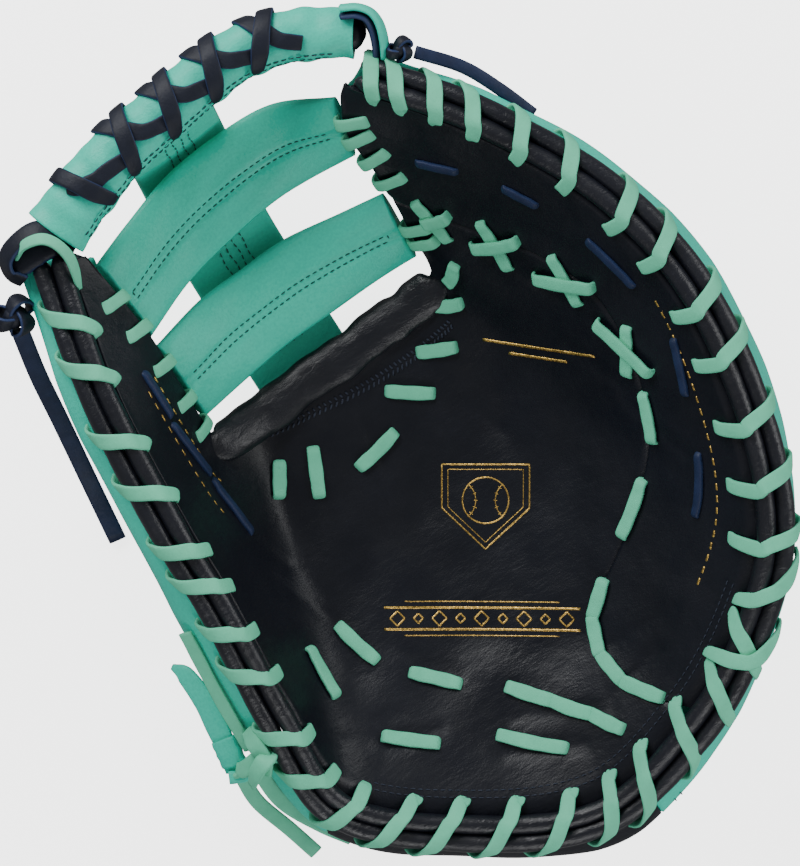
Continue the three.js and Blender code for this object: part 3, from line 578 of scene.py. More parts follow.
def navy_thread(cfg):
    return shared_material("navy_thread", thread, tuple(cfg.navy_thread))


def green_thread(cfg):
    return shared_material("green_thread", thread, tuple(cfg.green_thread))


def make_piece(name, shape, material, nodes):
    """Mesh of a shape in the frame's metres, riding on the part in place of its nodes."""
    points = (np.vstack(shape.points) + SHIFT) * MM
    mesh = bpy.data.meshes.new(name)
    mesh.from_pydata(points.tolist(), [], shape.faces)
    cut = mesh.attributes.new("cut", "FLOAT", "POINT")
    cut.data.foreach_set("value", np.concatenate(shape.cut).astype(np.float32))
    work = bmesh.new()
    work.from_mesh(mesh)
    bmesh.ops.remove_doubles(work, verts=work.verts, dist=WELD * MM)
    bmesh.ops.recalc_face_normals(work, faces=work.faces)
    work.to_mesh(mesh)
    work.free()
    mesh.shade_smooth()
    mesh.materials.append(material)
    piece = bpy.data.objects.new(name, mesh)
    bpy.context.scene.collection.objects.link(piece)
    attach(piece, "root")
    if nodes:
        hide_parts(*nodes)
    return piece


def stitch(shape, a, b, normal, thick):
    """One short thread that dips into the leather at both ends."""
    run = b - a
    share = np.array([0, .12, .3, .5, .7, .88, 1.0])
    high = np.array([-.45, .05, .34, .42, .34, .05, -.45]) * thick
    centre = a + run * share[:, None] + normal * high[:, None]
    side = unit(np.cross(run, normal))
    n = len(share)
    wide = thick * np.array([.5, .85, 1, 1, 1, .85, .5])
    shape.tube(centre, np.tile(side, (n, 1)), np.tile(normal, (n, 1)), wide, wide, 6)


def stitch_row(shape, points, normals, cfg):
    """Running stitches along a line on the leather."""
    both = resample(np.hstack([points, normals]), max(int(length_of(points) / .5), 8))
    step = (cfg.stitch_length + cfg.stitch_space) / MM
    at = distances(both[:, :3])
    count = max(int(at[-1] / step), 1)
    for i in range(count):
        ends = np.array([i * step, i * step + cfg.stitch_length / MM])
        a, b = [read_off(end, at, both[:, :3]) for end in ends]
        stitch(shape, a, b, unit(read_off(ends.mean(), at, both[:, 3:])), cfg.thread / MM)


def surface_row(surface, start, end, count, sign=1.0):
    """Points and normals along a line given along the rim and out from the web."""
    t = np.linspace(0, 1, count)
    along = start[0] + (end[0] - start[0]) * t
    out = start[1] + (end[1] - start[1]) * t
    return surface(along, out), normal_of(surface, along, out) * sign


def seam_side(x, y):
    """Distance from the seam in plan, above 0 on the palm's side."""
    both = spline(SEAM[:SEAM_ROWS], 8)
    line = palm_at(both[:, 0], both[:, 1])[:, :2]
    best = np.full(x.shape, 1e9)
    for a, b in zip(line[:-1], line[1:]):
        d = line_distance(x, y, a, b)
        side = np.sign((b[0] - a[0]) * (y - a[1]) - (b[1] - a[1]) * (x - a[0]))
        best = np.where(d < np.abs(best), d * side, best)
    return best


# How far the palm leather reaches: along the rim, and out from the web
PALM_REACH = np.array([(0, 1.02), (.535, 1.02), (.56, .90), (.60, .80), (.70, .81), (.75, .79), (.78, .71),
                       (.795, .50), (.81, .27), (.83, .12)])


def build_palm(cfg):
    """Palm leather from the thumb tip to the seam, diving a little under the finger panel."""
    count, across = 430, 86
    along = np.linspace(0, PALM_REACH[-1, 0], count)
    reach = np.interp(along, PALM_REACH[:, 0], PALM_REACH[:, 1])
    out = np.linspace(0, 1, across)[None, :] * reach[:, None]
    grid_along = np.repeat(along[:, None], across, 1)
    front = skin_at(grid_along, out)
    normals = normal_of(palm_at, grid_along, out)
    side = seam_side(front[..., 0], front[..., 1])
    near = np.where(grid_along > .5, 1.0, 0.0)
    sink = SEAM_SINK * (1 - smooth(-1.7, 1.5, side)) * near
    front = front - normals * sink[..., None]
    turned = unit(normals + UP * smooth(.7, 1, out)[..., None] * 2)
    shape = Shape()
    shape.slab(front, turned, cfg.palm_leather / MM)
    make_piece("palm_leather", shape, navy_leather(cfg), ["palm_panel"])


def build_finger_panel(cfg):
    """Outer band of the palm, its inner edge lying over the palm along the seam."""
    count, across = 330, 64
    scale = [RIM_LENGTH, 100, RIM_LENGTH]
    rows = resample(spline(SEAM, 10) * scale, count) / scale
    share = np.linspace(0, 1, across)[None, :]
    along = rows[:, 0:1] + (rows[:, 2:3] - rows[:, 0:1]) * share
    out = rows[:, 1:2] + (1.02 - rows[:, 1:2]) * share
    front = skin_at(along, out)
    normals = unit(normal_of(palm_at, along, out) + UP * smooth(.7, 1, out)[..., None] * 2)
    shape = Shape()
    shape.slab(front, normals, cfg.palm_leather / MM)
    make_piece("finger_panel_leather", shape, navy_leather(cfg), ["finger_panel"])


# Rim laces: slant along the rim, the hole's share of the way out, its most in millimetres from the
# palm's edge, and the place of each lace along the rim
RIM_LACES = {
    "edge_lace_thumb": (-.028, .935, 7.0, (.050, .080, .118, .147, .180, .205, .233, .260, .292, .320,
                                           .347)),
    "edge_lace_heel": (-.031, .970, 6.0, (.377, .405, .434, .463, .490, .518, .549)),
    "edge_lace_fingers": (.024, .925, 12.0, (.637, .671, .704, .738, .768, .804, .835, .868, .897, .922,
                                       .948, .968, .983)),
}
# The way of a lace over both rolls: out from the rim line and up from it
OVER_ROLLS = ((-6.0, 2.7), (-3.6, 4.0), (0, 3.7), (3.6, 2.7), (6.4, 1.0), (7.9, -1.8), (9.0, -4.9),
              (8.8, -7.6), (6.8, -9.4))
# Width of a lace from its hole in the palm to its far end, as shares
LACE_TAPER = np.array([.55, .78, .88, .90, .90, .90, .90, .88, .84, .84])
# Laces that cross at the little finger's corner: along the rim, out from the rim line and up from it
CORNER_LACES = {
    "edge_lace_heel": (
        ((.578, -10.8, -5.4), (.5765, -10, -1.6), (.571, -7, 1.7), (.567, -4.6, 3.7), (.564, -2, 4.2),
         (.561, 1, 3.9), (.558, 4, 2.8), (.556, 6.8, .4), (.555, 8.5, -3), (.555, 8.6, -6)),
        ((.5815, -12.8, -5.6), (.5820, -11.5, -1.9), (.5822, -8, 2.0), (.5826, -4, 5.4), (.5838, -.5, 6.3),
         (.5855, 3, 5.8), (.589, 5.5, 4.3), (.594, 7.3, 1.7), (.601, 8.7, -1.2), (.607, 9.2, -4),
         (.609, 8.6, -7)),
    ),
    "edge_lace_fingers": (
        ((.6075, -10.3, -5.2), (.6065, -9.4, -1.4), (.602, -7.5, 1.5), (.598, -5.5, 3.3), (.5945, -2.5, 4.2),
         (.591, .5, 3.9), (.588, 3, 3.0), (.585, 5.6, 1.5), (.583, 7.7, -1.5), (.582, 8.8, -4.8)),
        ((.614, -10.4, -5.0), (.615, -9.4, -1.1), (.616, -6, 3.0), (.618, -3, 4.3), (.621, 0, 4.1),
         (.625, 3.6, 3.0), (.631, 6.3, 1.3), (.637, 7.9, -1.7), (.642, 8.9, -5), (.645, 8.5, -8)),
    ),
}


def rim_loop(at, slant, reach, most):
    """Points and face directions of one lace from its hole in the palm over the rolls into the back."""
    points, faces = [], []
    middle = station_at(at)
    reach = max(reach, 1 - most / np.linalg.norm(middle[0:2] - middle[3:5]))
    steps = ((reach - .016, -2.6), (reach, .5), (reach * .5 + .492, 1.3))
    for i, (out, lift) in enumerate(steps):
        along = np.clip(at + slant * .09 * i, .004, .996)
        n = normal_of(palm_at, along, out)
        points.append(palm_at(along, min(out, .99)) + n * lift)
        faces.append(n)
    for i, (outward, up) in enumerate(OVER_ROLLS):
        along = np.clip(at + slant * (.25 + .75 * (i + 1) / len(OVER_ROLLS)), .004, .996)
        points.append(rim_point(along, outward, up))
        faces.append(unit(outward_at(along) * outward + UP * (up + 2.4)))
    return points, faces


def build_rim_laces(cfg):
    """Flat mint laces over both rolls, one piece for each run of the rim."""
    wide, thick = cfg.lace_width / MM * LACE_TAPER, cfg.lace_thick / MM
    for node, (slant, reach, most, places) in RIM_LACES.items():
        shape = Shape()
        for k, at in enumerate(places):
            turned = slant * (1 + .12 * math.sin(3 * k))
            points, faces = rim_loop(at + .002 * math.sin(5 * k), turned, reach, most)
            shape.lace(points, faces, wide, thick, 4, 14)
        for rows in CORNER_LACES.get(node, ()):
            points = [rim_point(along, outward, up) for along, outward, up in rows]
            faces = [unit(outward_at(along) * outward + UP * max(up + 6.4, 2))
                     for along, outward, up in rows]
            shape.lace(points, faces, wide, thick, 4, 14)
        make_piece(node.replace("edge_lace", "rim_laces"), shape, mint_lace(cfg), [node])


def build_rolls(cfg):
    """Two piped rolls along the rim, pinched a little under each lace."""
    along = np.linspace(0, 1, 760)
    places = [at + slant * .5 for slant, _, _, run in RIM_LACES.values() for at in run]
    pinch = sum(np.exp(-(((along - p) / .006) ** 2)) for p in places)
    end = np.sqrt(np.clip(np.minimum(along, 1 - along) / .006, .02, 1))
    size = 2 * cfg.roll_radius / MM * (1.20 - .05 * pinch) * end
    size = size * (1 + .02 * np.sin(along * 61) + .015 * np.sin(along * 143 + 1))
    for name, way, drop in (("rim_roll_front", -.5, 0), ("rim_roll_rear", .5, REAR_ROLL_DROP)):
        shape = Shape()
        centre = rim_point(along, way * ROLL_SPACING + .25 * np.sin(along * 47 + way), -drop)
        shape.tube(centre, *upright(centre), size, size, 20)
        make_piece(name + "_leather", shape, navy_roll(cfg), [name])


def web_edge(along, off, up):
    """A point beyond the palm's web edge, by its distance from the edge and its height."""
    c = station_at(along)
    run = station_at(along + .01)[..., 3:6] - station_at(along - .01)[..., 3:6]
    away = unit(np.stack([-run[..., 1], run[..., 0], 0 * run[..., 0]], -1))
    p = c[..., 3:6] + away * off[..., None]
    p[..., 2] += up
    return p


def build_crotch(cfg):
    """Padded roll along the bottom of the web, with slanted stitches behind it and two rows at the heel."""
    first, last = CROTCH_RUN
    along = np.linspace(first, last, 300)
    ends = np.clip(np.minimum(along - first, last - along) / CROTCH_TAPER, 0, 1)
    swell = np.sqrt(np.clip(1 - (1 - ends) ** 2, .02, 1))
    centre = web_edge(along, CROTCH_OFFSET + .3 * np.sin(along * 60), -.6)
    wobble = 1 + .035 * np.sin(along * 71) + .03 * np.sin(along * 133)
    wide, high = CROTCH_SIZE
    shape = Shape()
    shape.tube(centre, *upright(centre), wide * swell * wobble, high * swell, 32, .9)
    make_piece("crotch_roll_leather", shape, navy_roll(cfg), ["crotch_roll"])
    rows = Shape()
    for k in range(CROTCH_STITCHES):
        s = .235 + .335 * k / CROTCH_STITCHES
        for low, high in ((.088, .098), (.110, .100)):
            spots = skin_at(np.array([s, s + .0032]), np.array([low, high]))
            normal = normal_of(palm_at, s, low)
            stitch(rows, spots[0], spots[1], normal, cfg.thread / MM * 1.7)
    for out in (.948, .963):
        points, normals = surface_row(skin_at, (.350, out), (.620, out), 200)
        stitch_row(rows, points, normals, cfg)
    make_piece("palm_stitches", rows, navy_thread(cfg), [])


# Node, start and end along the rim, inner and outer edge, points each way, and look
BACK_PIECES = (
    ("back_thumb", .0, .2722, .0, 1.0, 130, 60, "mint"),
    ("back_middle", .2737, .4984, .0, .36, 110, 34, "mint"),
    ("back_fingers", .4995, 1.0, .0, 1.0, 220, 60, "mint"),
    ("wrist_strap", .2732, .4986, .42, .52, 90, 14, "mint"),
    ("heel_corner", .2737, .3290, .88, 1.0, 50, 14, "mint"),
    ("heel_binding", .3305, .4982, .88, 1.0, 110, 14, "navy"),
)


def build_back(cfg):
    """Back leather in its pieces, with a double row of stitches along the edges that meet."""
    rows = Shape()
    for node, start, end, inner, outer, count, across, look in BACK_PIECES:
        along = np.linspace(start, end, count)[:, None] + np.zeros((1, across))
        out = np.linspace(inner, outer, across)[None, :] + np.zeros((count, 1))
        face = back_at(along, out)
        x, y, z = face[..., 0], face[..., 1], face[..., 2]
        lift = .5 * np.sin(x * .11 + z * .07) * np.sin(y * .09 + z * .05) * smooth(1, 12, z)
        normals = normal_of(back_at, along, out)
        face = face + normals * np.maximum(lift, -.2)[..., None]
        shape = Shape()
        shape.slab(face[::-1], -normals[::-1], cfg.back_leather / MM)
        skin = mint_leather(cfg) if look == "mint" else navy_leather(cfg)
        stands_for = [] if node == "heel_corner" else [node]
        make_piece(node + "_leather", shape, skin, stands_for)
        for edge in (start + .008, end - .008):
            if node in ("back_thumb", "back_fingers") and 0.1 < edge < .9:
                for off in (0, .004):
                    points, normals = surface_row(back_at, (edge + off, .08), (edge + off, .93), 120, -1.0)
                    stitch_row(rows, points, normals, cfg)
        if node in ("wrist_strap", "back_middle"):
            for out in (inner + .02, outer - .02):
                points, normals = surface_row(back_at, (start + .006, out), (end - .006, out), 160, -1.0)
                stitch_row(rows, points, normals, cfg)
    make_piece("back_stitches", rows, navy_thread(cfg), [])


# Middle line of the sleeve from the thumb's end: x, y and z as shares of the mitt
CROWN = np.array([(-.293, .385, .925), (-.219, .405, .944), (-.135, .424, .953), (-.049, .434, .953),
                  (.038, .443, .944), (.107, .445, .935), (.176, .434, .925), (.242, .411, .925),
                  (.289, .389, .935)]) * MITT
CROWN_LINE = resample(spline(CROWN, 16), 400)


def crown_at(share, angle, grow=0.0):
    """A point on the sleeve by its share of the length and its angle, and the direction out of it."""
    share, angle = np.broadcast_arrays(np.asarray(share, float), np.radians(np.asarray(angle, float)))
    at = np.linspace(0, 1, len(CROWN_LINE))
    p = read_off(share, at, CROWN_LINE)
    run = unit(read_off(share, at, np.gradient(CROWN_LINE, axis=0)))
    side = -unit(np.cross(run, UP + 0 * run))
    up = unit(np.cross(run, side))
    up = up * np.sign(up[..., 2:3])
    wide = CROWN_HALF_WIDE - CROWN_NARROWS * share + grow
    high = CROWN_HIGH / 2 + grow
    away = side * (np.cos(angle) * wide)[..., None] + up * (np.sin(angle) * high)[..., None]
    face = side * (np.cos(angle) / wide)[..., None] + up * (np.sin(angle) / high)[..., None]
    return p + away, unit(face)


def build_crown(cfg):
    """Mint sleeve of the web's top edge, open at both ends, with the dark core inside it."""
    count, sides = 150, 40
    share = np.linspace(.018, .97, count)[:, None] + np.zeros((1, sides + 1))
    angle = np.linspace(0, 360, sides + 1)[None, :] + np.zeros((count, 1))
    dent = .35 * np.sin(share * 46 + np.radians(angle) * 2) + .25 * np.sin(share * 91)
    outer, _ = crown_at(share, angle, dent)
    inner, _ = crown_at(share, angle, -CROWN_WALL)
    shape = Shape()
    shape.grid(outer[::-1])
    shape.grid(inner)
    for row in (0, -1):
        beside = outer[1 if row == 0 else -2]
        middle = (outer[row] + inner[row]) / 2 + (outer[row] - beside) * .12
        rim = np.stack([outer[row], middle, inner[row]], 0)
        shape.grid(rim if row == 0 else rim[::-1], np.ones(rim.shape[:2]))
    make_piece("crown_sleeve_leather", shape, mint_leather(cfg), ["web_crown_sleeve"])
    core = Shape()
    share = np.linspace(.0, 1.0, 90)
    line = read_off(share, np.linspace(0, 1, len(CROWN_LINE)), CROWN_LINE)
    shut = np.sqrt(np.clip(np.minimum(share, 1 - share) / .02, .05, 1))
    core.tube(line, *upright(line), (17.5 - 5 * share) * shut, 8.6 * shut, 20)
    make_piece("crown_core_leather", core, navy_leather(cfg), ["web_crown_core"])
    rows = Shape()
    for angle in (146, 160):
        points, normals = crown_at(np.linspace(.06, .93, 200), angle, .35)
        stitch_row(rows, points, normals, cfg)
    make_piece("crown_stitches", rows, navy_thread(cfg), [])


# Crown lace: where each crossing stands along the sleeve
CROWN_CROSSES = (.175, .315, .455, .595, .735)
# The loop and the link of one crossing: along the sleeve from the crossing, angle round it, and lift
CROWN_LOOP = ((-.048, 158, .2), (-.040, 140, 1.0), (-.020, 108, 2.2), (.004, 72, 2.5), (.022, 34, 1.9),
              (.030, 0, 1.2), (.032, -32, .6))
CROWN_LINK = ((-.034, -28, .5), (-.034, 2, 1.0), (-.020, 36, 1.1), (.006, 70, .9), (.038, 96, .8),
              (.072, 106, .9), (.100, 112, .3))
FIRST_LOOP = ((.004, 158, .2), (-.002, 140, 1.0), (-.014, 108, 2.2), (-.026, 72, 2.5), (-.038, 34, 1.9),
              (-.046, 0, 1.2), (-.048, -32, .6))
FIRST_LINK = ((-.052, 66, .3), (-.036, 78, .9), (-.014, 88, 1.0), (.010, 96, .8), (.038, 100, .8),
              (.072, 106, .9), (.100, 112, .3))


def build_crown_lace(cfg):
    """Navy lace crossed over the sleeve: a loop over its outer edge and a flat link at each crossing."""
    shape = Shape()
    for k, at in enumerate(CROWN_CROSSES):
        ways = (CROWN_LOOP, CROWN_LINK) if k else (FIRST_LOOP, FIRST_LINK)
        for way in ways:
            spots = [crown_at(at + off, angle, grow) for off, angle, grow in way]
            wide = cfg.lace_width / MM * np.array([.45, .85, 1.02, 1, .96, .9, .9])
            shape.lace([p for p, n in spots], [n for p, n in spots], wide, cfg.lace_thick / MM, 6, 14)
    make_piece("crown_lacing", shape, navy_lace(cfg), ["crown_lace"])


# The sleeve's finger end rolls open and turns down: pixels of the photograph's frame and height
MOUTH = ((340, 4, 102), (358, 3, 103), (374, 9, 103), (384, 22, 102), (389, 40, 100), (391, 60, 96))


def from_pixel(px, py, z):
    """Plan point that shows at a pixel of the photograph's frame, at a height."""
    k = (CAMERA_HIGH - z) / (CAMERA_HIGH - PIXEL_HEIGHT) * PIXEL
    across, up = (px - PHOTO_MIDDLE[0]) * k, (PHOTO_MIDDLE[1] - py) * k
    return np.array([*(PHOTO_RIGHT * across + PHOTO_UP * up), z])


def pixel_route(spots):
    return np.array([from_pixel(*spot) for spot in spots])


def build_crown_mouth(cfg):
    """The curled finger end of the sleeve, with a pale raw edge and its dark inside."""
    count, across = 50, 16
    line = resample(spline(pixel_route(MOUTH), 10), count)
    out, _ = upright(line)
    out = out * np.sign(np.sum(out * (line - line.mean(0)), 1).sum())
    tall = np.linspace(-1, 1, across)
    half = np.linspace(8.5, 6.0, count)
    curl = 1.8 * tall ** 2
    front = line[:, None] + UP * (half[:, None] * tall)[..., None] - out[:, None] * curl[None, :, None]
    shape = Shape()
    shape.slab(front, np.repeat(out[:, None], across, 1), MOUTH_THICK)
    make_piece("crown_mouth_leather", shape, mint_leather(cfg), [])
    lining = Shape()
    inner = line[:, None] - out[:, None] * (3.1 + curl[None, :, None])
    inner = inner + UP * (half[:, None] * tall * .9)[..., None]
    lining.slab(inner, np.repeat(out[:, None], across, 1), LINING_THICK)
    make_piece("crown_mouth_inside", lining, blue_lace(cfg), [])


# Stations along each bar: x y z of its upper edge, then of its lower edge, as shares of the mitt
BARS = {
    "web_upper_bar": (
        (-.260, .338, .784, -.250, .240, .660), (-.185, .360, .710, -.152, .270, .600),
        (-.088, .383, .665, -.050, .287, .555), (.018, .391, .665, .029, .295, .560),
        (.110, .385, .715, .095, .294, .610), (.196, .352, .815, .176, .288, .678)),
    "web_lower_bar": (
        (-.252, .229, .633, -.252, .134, .458), (-.155, .248, .530, -.154, .146, .430),
        (-.076, .253, .470, -.073, .154, .400), (.007, .256, .460, .009, .157, .395),
        (.108, .246, .500, .103, .160, .400), (.181, .238, .576, .176, .160, .375)),
}


def bar_surface(rows, lengthwise, across):
    """Front and rear faces of a folded bar, thin at its edges, with a valley under its stitches."""
    rows = np.array(rows)
    tops = resample(spline(rows[:, 0:3] * MITT, 12), lengthwise)
    lows = resample(spline(rows[:, 3:6] * MITT, 12), lengthwise)
    t = np.linspace(0, 1, across)[None, :, None]
    middle = tops[:, None] + (lows - tops)[:, None] * t
    run = unit(np.gradient(tops, axis=0))
    face = unit(np.cross(run, lows - tops))
    face = face * np.sign(face[:, 2:3])
    s = np.linspace(0, 1, lengthwise)[:, None]
    x = t[..., 0]
    full = np.clip(1 - np.abs(2 * x - 1) ** 3.2, 0, 1) ** .5
    valley = sum(.75 * np.exp(-(((x - row) / .035) ** 2)) for row in BAR_STITCH_ROWS)
    ruck = .35 * np.sin(s * 23 + x * 5) * np.sin(x * 9 + 1)
    ruck = ruck + .3 * np.exp(-((s - .5) / .05) ** 2) * np.sin(x * 14)
    top = (BAR_THICK / 2 + BAR_CROWN) * full + (ruck - valley) * full
    low = -BAR_THICK / 2 * full
    return middle + face[:, None] * top[..., None], middle + face[:, None] * low[..., None], face


def build_bars(cfg):
    """Two folded mint bars of the web, each with a double row of stitches closed at one end."""
    rows = Shape()
    lengthwise, across = 130, 46
    for node, table in BARS.items():
        front, rear, face = bar_surface(table, lengthwise, across)
        shape = Shape()
        shape.grid(front[:, ::-1])
        shape.grid(rear)
        for end, flip in ((0, False), (-1, True)):
            ring = np.stack([front[end], rear[end]], 0)
            shape.grid(ring[::-1] if flip else ring, np.ones(ring.shape[:2]))
        make_piece(node + "_leather", shape, mint_leather(cfg), [node])
        lines = []
        for share in BAR_STITCH_ROWS:
            trim = 4 if node == "web_upper_bar" else 6
            line = front[trim:-trim, int(round(share * (across - 1)))]
            lines.append(line)
            stitch_row(rows, line, face[4:4 + len(line)], cfg)
        end = 0 if node == "web_upper_bar" else -1
        cross = np.stack([lines[0][end], lines[1][end]])
        stitch_row(rows, cross, face[[end, end]], cfg)
    make_piece("bar_stitches", rows, green_thread(cfg), [])


# Middle line of the post from its top, in the same shares
POST = np.array([(-.051, .428, .835), (-.053, .410, .730), (-.057, .388, .600), (-.065, .341, .500),
                 (-.071, .285, .420), (-.073, .213, .315), (-.074, .160, .236), (-.074, .110, .207)]) * MITT


def build_post(cfg):
    """Flat mint post behind the bars, with groups of four short rows of stitches across it."""
    count, columns, trim = 120, 30, slice(8, 108)
    line = resample(spline(POST, 14), count)
    across = unit(np.array([1.0, .06, 0.0]))
    run = unit(np.gradient(line, axis=0))
    face = -np.cross(run, across)
    face = unit(face * np.sign(face[:, 2:3]))
    share = np.linspace(-.5, .5, columns)
    lift = .4 * np.sin(np.linspace(0, 14, count))[:, None] * np.cos(share * 3)[None, :]
    front = line[:, None] + across * (share * POST_WIDE)[None, :, None] + face[:, None] * lift[..., None]
    normals = np.repeat(face[:, None], columns, 1)
    shape = Shape()
    shape.slab(front[:, ::-1], normals[:, ::-1], POST_THICK)
    make_piece("web_post_leather", shape, mint_leather(cfg), ["web_post"])
    rows = Shape()
    for k in range(4):
        off = (-.12 + .092 * k) * POST_WIDE + .35 * np.sin(np.linspace(0, 60, 100) + 2 * k)
        points = line[trim] + across * off[:, None] + face[trim] * .45
        stitch_row(rows, points, face[trim], cfg)
    make_piece("post_stitches", rows, green_thread(cfg), [])


# Short laces that tie the web's bars to the border, by their place along the rim
WEB_LACES = {"web_lace_thumb": (.012, (.035, .065, .100, .135, .165)),
             "web_lace_fingers": (-.008, (.700, .735, .845, .885, .920, .950))}
# The way of a web lace: toward the web from its edge, and out of the leather
OVER_WEB_EDGE = ((-10.5, -2.4), (-9.0, .7), (-5.0, 1.5), (-.5, 1.9), (2.6, .8), (3.6, -1.8), (3.2, -4.5))


def build_web_laces(cfg):
    """Mint laces from the border over its web edge."""
    for node, (slant, places) in WEB_LACES.items():
        shape = Shape()
        for at in places:
            points, faces = [], []
            for i, (to_web, off) in enumerate(OVER_WEB_EDGE):
                along = at + slant * i / (len(OVER_WEB_EDGE) - 1)
                face = normal_of(palm_at, along, 0.0)
                run = unit(station_at(along + .006)[3:6] - station_at(along - .006)[3:6])
                away = unit(np.cross(face, run))
                away = away * np.sign(np.dot(away, station_at(along)[3:6] - station_at(along)[0:3]))
                points.append(station_at(along)[3:6] + away * to_web + face * off)
                faces.append(unit(face * (6 - i) + away * max(i - 2, 0) * 1.6))
            shape.lace(points, faces, cfg.stitch_lace / MM, cfg.lace_thick / MM, 4, 12)
        make_piece(node.replace("lace_", "laces_"), shape, mint_lace(cfg), [node])


def dash(shape, start, end, wide, thick, high=1.0, count=5):
    """A lace that comes up through the leather, lies on it and goes down again."""
    t = np.linspace(0, 1, count + 1)
    along = start[0] + (end[0] - start[0]) * t
    out = start[1] + (end[1] - start[1]) * t
    n = normal_of(palm_at, along, out)
    lift = high + .35 * np.sin(math.pi * t)
    points = skin_at(along, out) + n * lift[:, None]
    run = unit(points[-1] - points[0])
    first = points[0] - run * 1.0 - n[0] * (high + 2.2)
    last = points[-1] + run * 1.0 - n[-1] * (high + 2.2)
    points = np.vstack([first, points, last])
    faces = np.vstack([n[:1] - run * 1.2, n, n[-1:] + run * 1.2])
    pinched = np.full(len(points), 1.0)
    pinched[[0, -1]] = .72
    pinched[[1, -2]] = .90
    shape.lace(points, faces, wide * pinched, thick, 5, 12)


# Start and end of each lace on the palm, each along the rim and out from the web
PALM_LACES = (
    ((.292, .19), (.285, .29)), ((.338, .18), (.338, .29)), ((.385, .25), (.430, .21)),
    ((.440, .13), (.492, .18)), ((.500, .10), (.550, .14)), ((.562, .05), (.616, .10)),
    ((.635, .06), (.705, .13)), ((.340, .60), (.365, .67)), ((.302, .70), (.328, .77)),
    ((.388, .70), (.417, .73)), ((.362, .84), (.393, .85)), ((.432, .84), (.468, .89)),
)
# The two laces of each cross, the one beneath first, in the same columns
SEAM_CROSSES = (
    (((.812, .10), (.755, .15)), ((.775, .09), (.805, .21))),
    (((.807, .34), (.753, .35)), ((.765, .25), (.797, .45))),
    (((.789, .56), (.748, .57)), ((.758, .45), (.772, .66))),
    (((.745, .72), (.703, .66)), ((.738, .62), (.718, .75))),
)
SEAM_LENGTHS = (((.694, .70), (.660, .70)), ((.623, .68), (.580, .68)))
# The points that each heel lace passes
HEEL_RUNS = (((.547, .70), (.527, .73), (.519, .79), (.523, .86), (.538, .94)),
             ((.448, .75), (.473, .80), (.495, .86), (.508, .92)))


def build_palm_laces(cfg):
    """Mint dashes of the palm, the crosses on the seam and the runs at the heel."""
    wide, thick = cfg.stitch_lace / MM * 1.12, cfg.lace_thick / MM
    dashes = [("palm_dash", "palm_lace", [(*ends, 1.0, 5)], k) for k, ends in enumerate(PALM_LACES, 1)]
    for k, (under, over) in enumerate(SEAM_CROSSES, 1):
        dashes.append(("seam_x", "seam_cross", [(*under, .9, 5), (*over, 2.3, 5)], k))
    dashes += [("seam_dash", "seam_lace", [(*ends, 1.0, 5)], k) for k, ends in enumerate(SEAM_LENGTHS, 1)]
    for name, node, rows, k in dashes:
        shape = Shape()
        for start, end, high, count in rows:
            dash(shape, start, end, wide, thick, high, count)
        make_piece(f"{name}_{k}", shape, mint_lace(cfg), [f"{node}_{k}"])
    for k, run in enumerate(HEEL_RUNS, 1):
        shape = Shape()
        for i in range(len(run) - 1):
            dash(shape, run[i], run[i + 1], wide * 1.05, thick, 1.0 + .25 * (i % 2), 4)
        make_piece(f"heel_run_{k}", shape, mint_lace(cfg), [f"heel_lace_{k}"])


# Node, start and end, each along the rim and out from the web
HAND_STITCHES = (
    ("thumb_stitch_1", (.092, .42), (.125, .39)), ("thumb_stitch_2", (.131, .43), (.180, .34)),
    ("thumb_stitch_3", (.187, .36), (.238, .47)), ("finger_stitch_1", (.888, .30), (.880, .46)),
    ("finger_stitch_2", (.863, .62), (.848, .69)), ("finger_stitch_3", (.818, .78), (.787, .83)),
    ("finger_stitch_4", (.752, .88), (.716, .85)), ("finger_stitch_5", (.675, .84), (.634, .83)),
)


def build_hand_stitches(cfg):
    """Blue lace stitches on the thumb and on the finger panel."""
    for node, start, end in HAND_STITCHES:
        shape = Shape()
        dash(shape, start, end, cfg.stitch_lace / MM * .72, cfg.lace_thick / MM * 1.3, .35, 6)
        make_piece(node.replace("stitch", "hand_stitch"), shape, blue_lace(cfg), [node])


# Node, and the knot's width, length and height in millimetres
KNOT_TABLE = (("thumb_knot", 17, 15, 11), ("finger_knot", 11, 9, 8))


def build_knots(cfg):
    """Knots of flat lace: one band wound over and under itself."""
    for node, wide, long, high in KNOT_TABLE:
        low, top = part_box(node)
        centre = (np.array(low) + np.array(top)) / 2 / MM - SHIFT
        t = np.linspace(0, 2 * math.pi, 25)
        size = np.array([wide, long, high]) / 2 - .6
        x, y, z = np.sin(t) + 2 * np.sin(2 * t), np.cos(t) - 2 * np.cos(2 * t), -np.sin(3 * t)
        points = centre + np.stack([x / 3 * size[0], y / 3 * size[1], z * size[2] * .7], 1)
        faces = unit(points - centre + UP * .8)
        shape = Shape()
        shape.lace(points, faces, min(wide, long) * .46, cfg.lace_thick / MM * 1.1, 4, 12)
        heart = np.outer([-.5, -.25, 0, .25, .5], UP) * high * .8 + centre
        full = np.array([.5, .9, 1, .9, .5])
        shape.tube(heart, np.tile([1.0, 0, 0], (5, 1)), np.tile([0, 1.0, 0], (5, 1)),
                   wide * .58 * full, long * .58 * full, 14)
        make_piece(node + "_band", shape, navy_lace(cfg), [node])


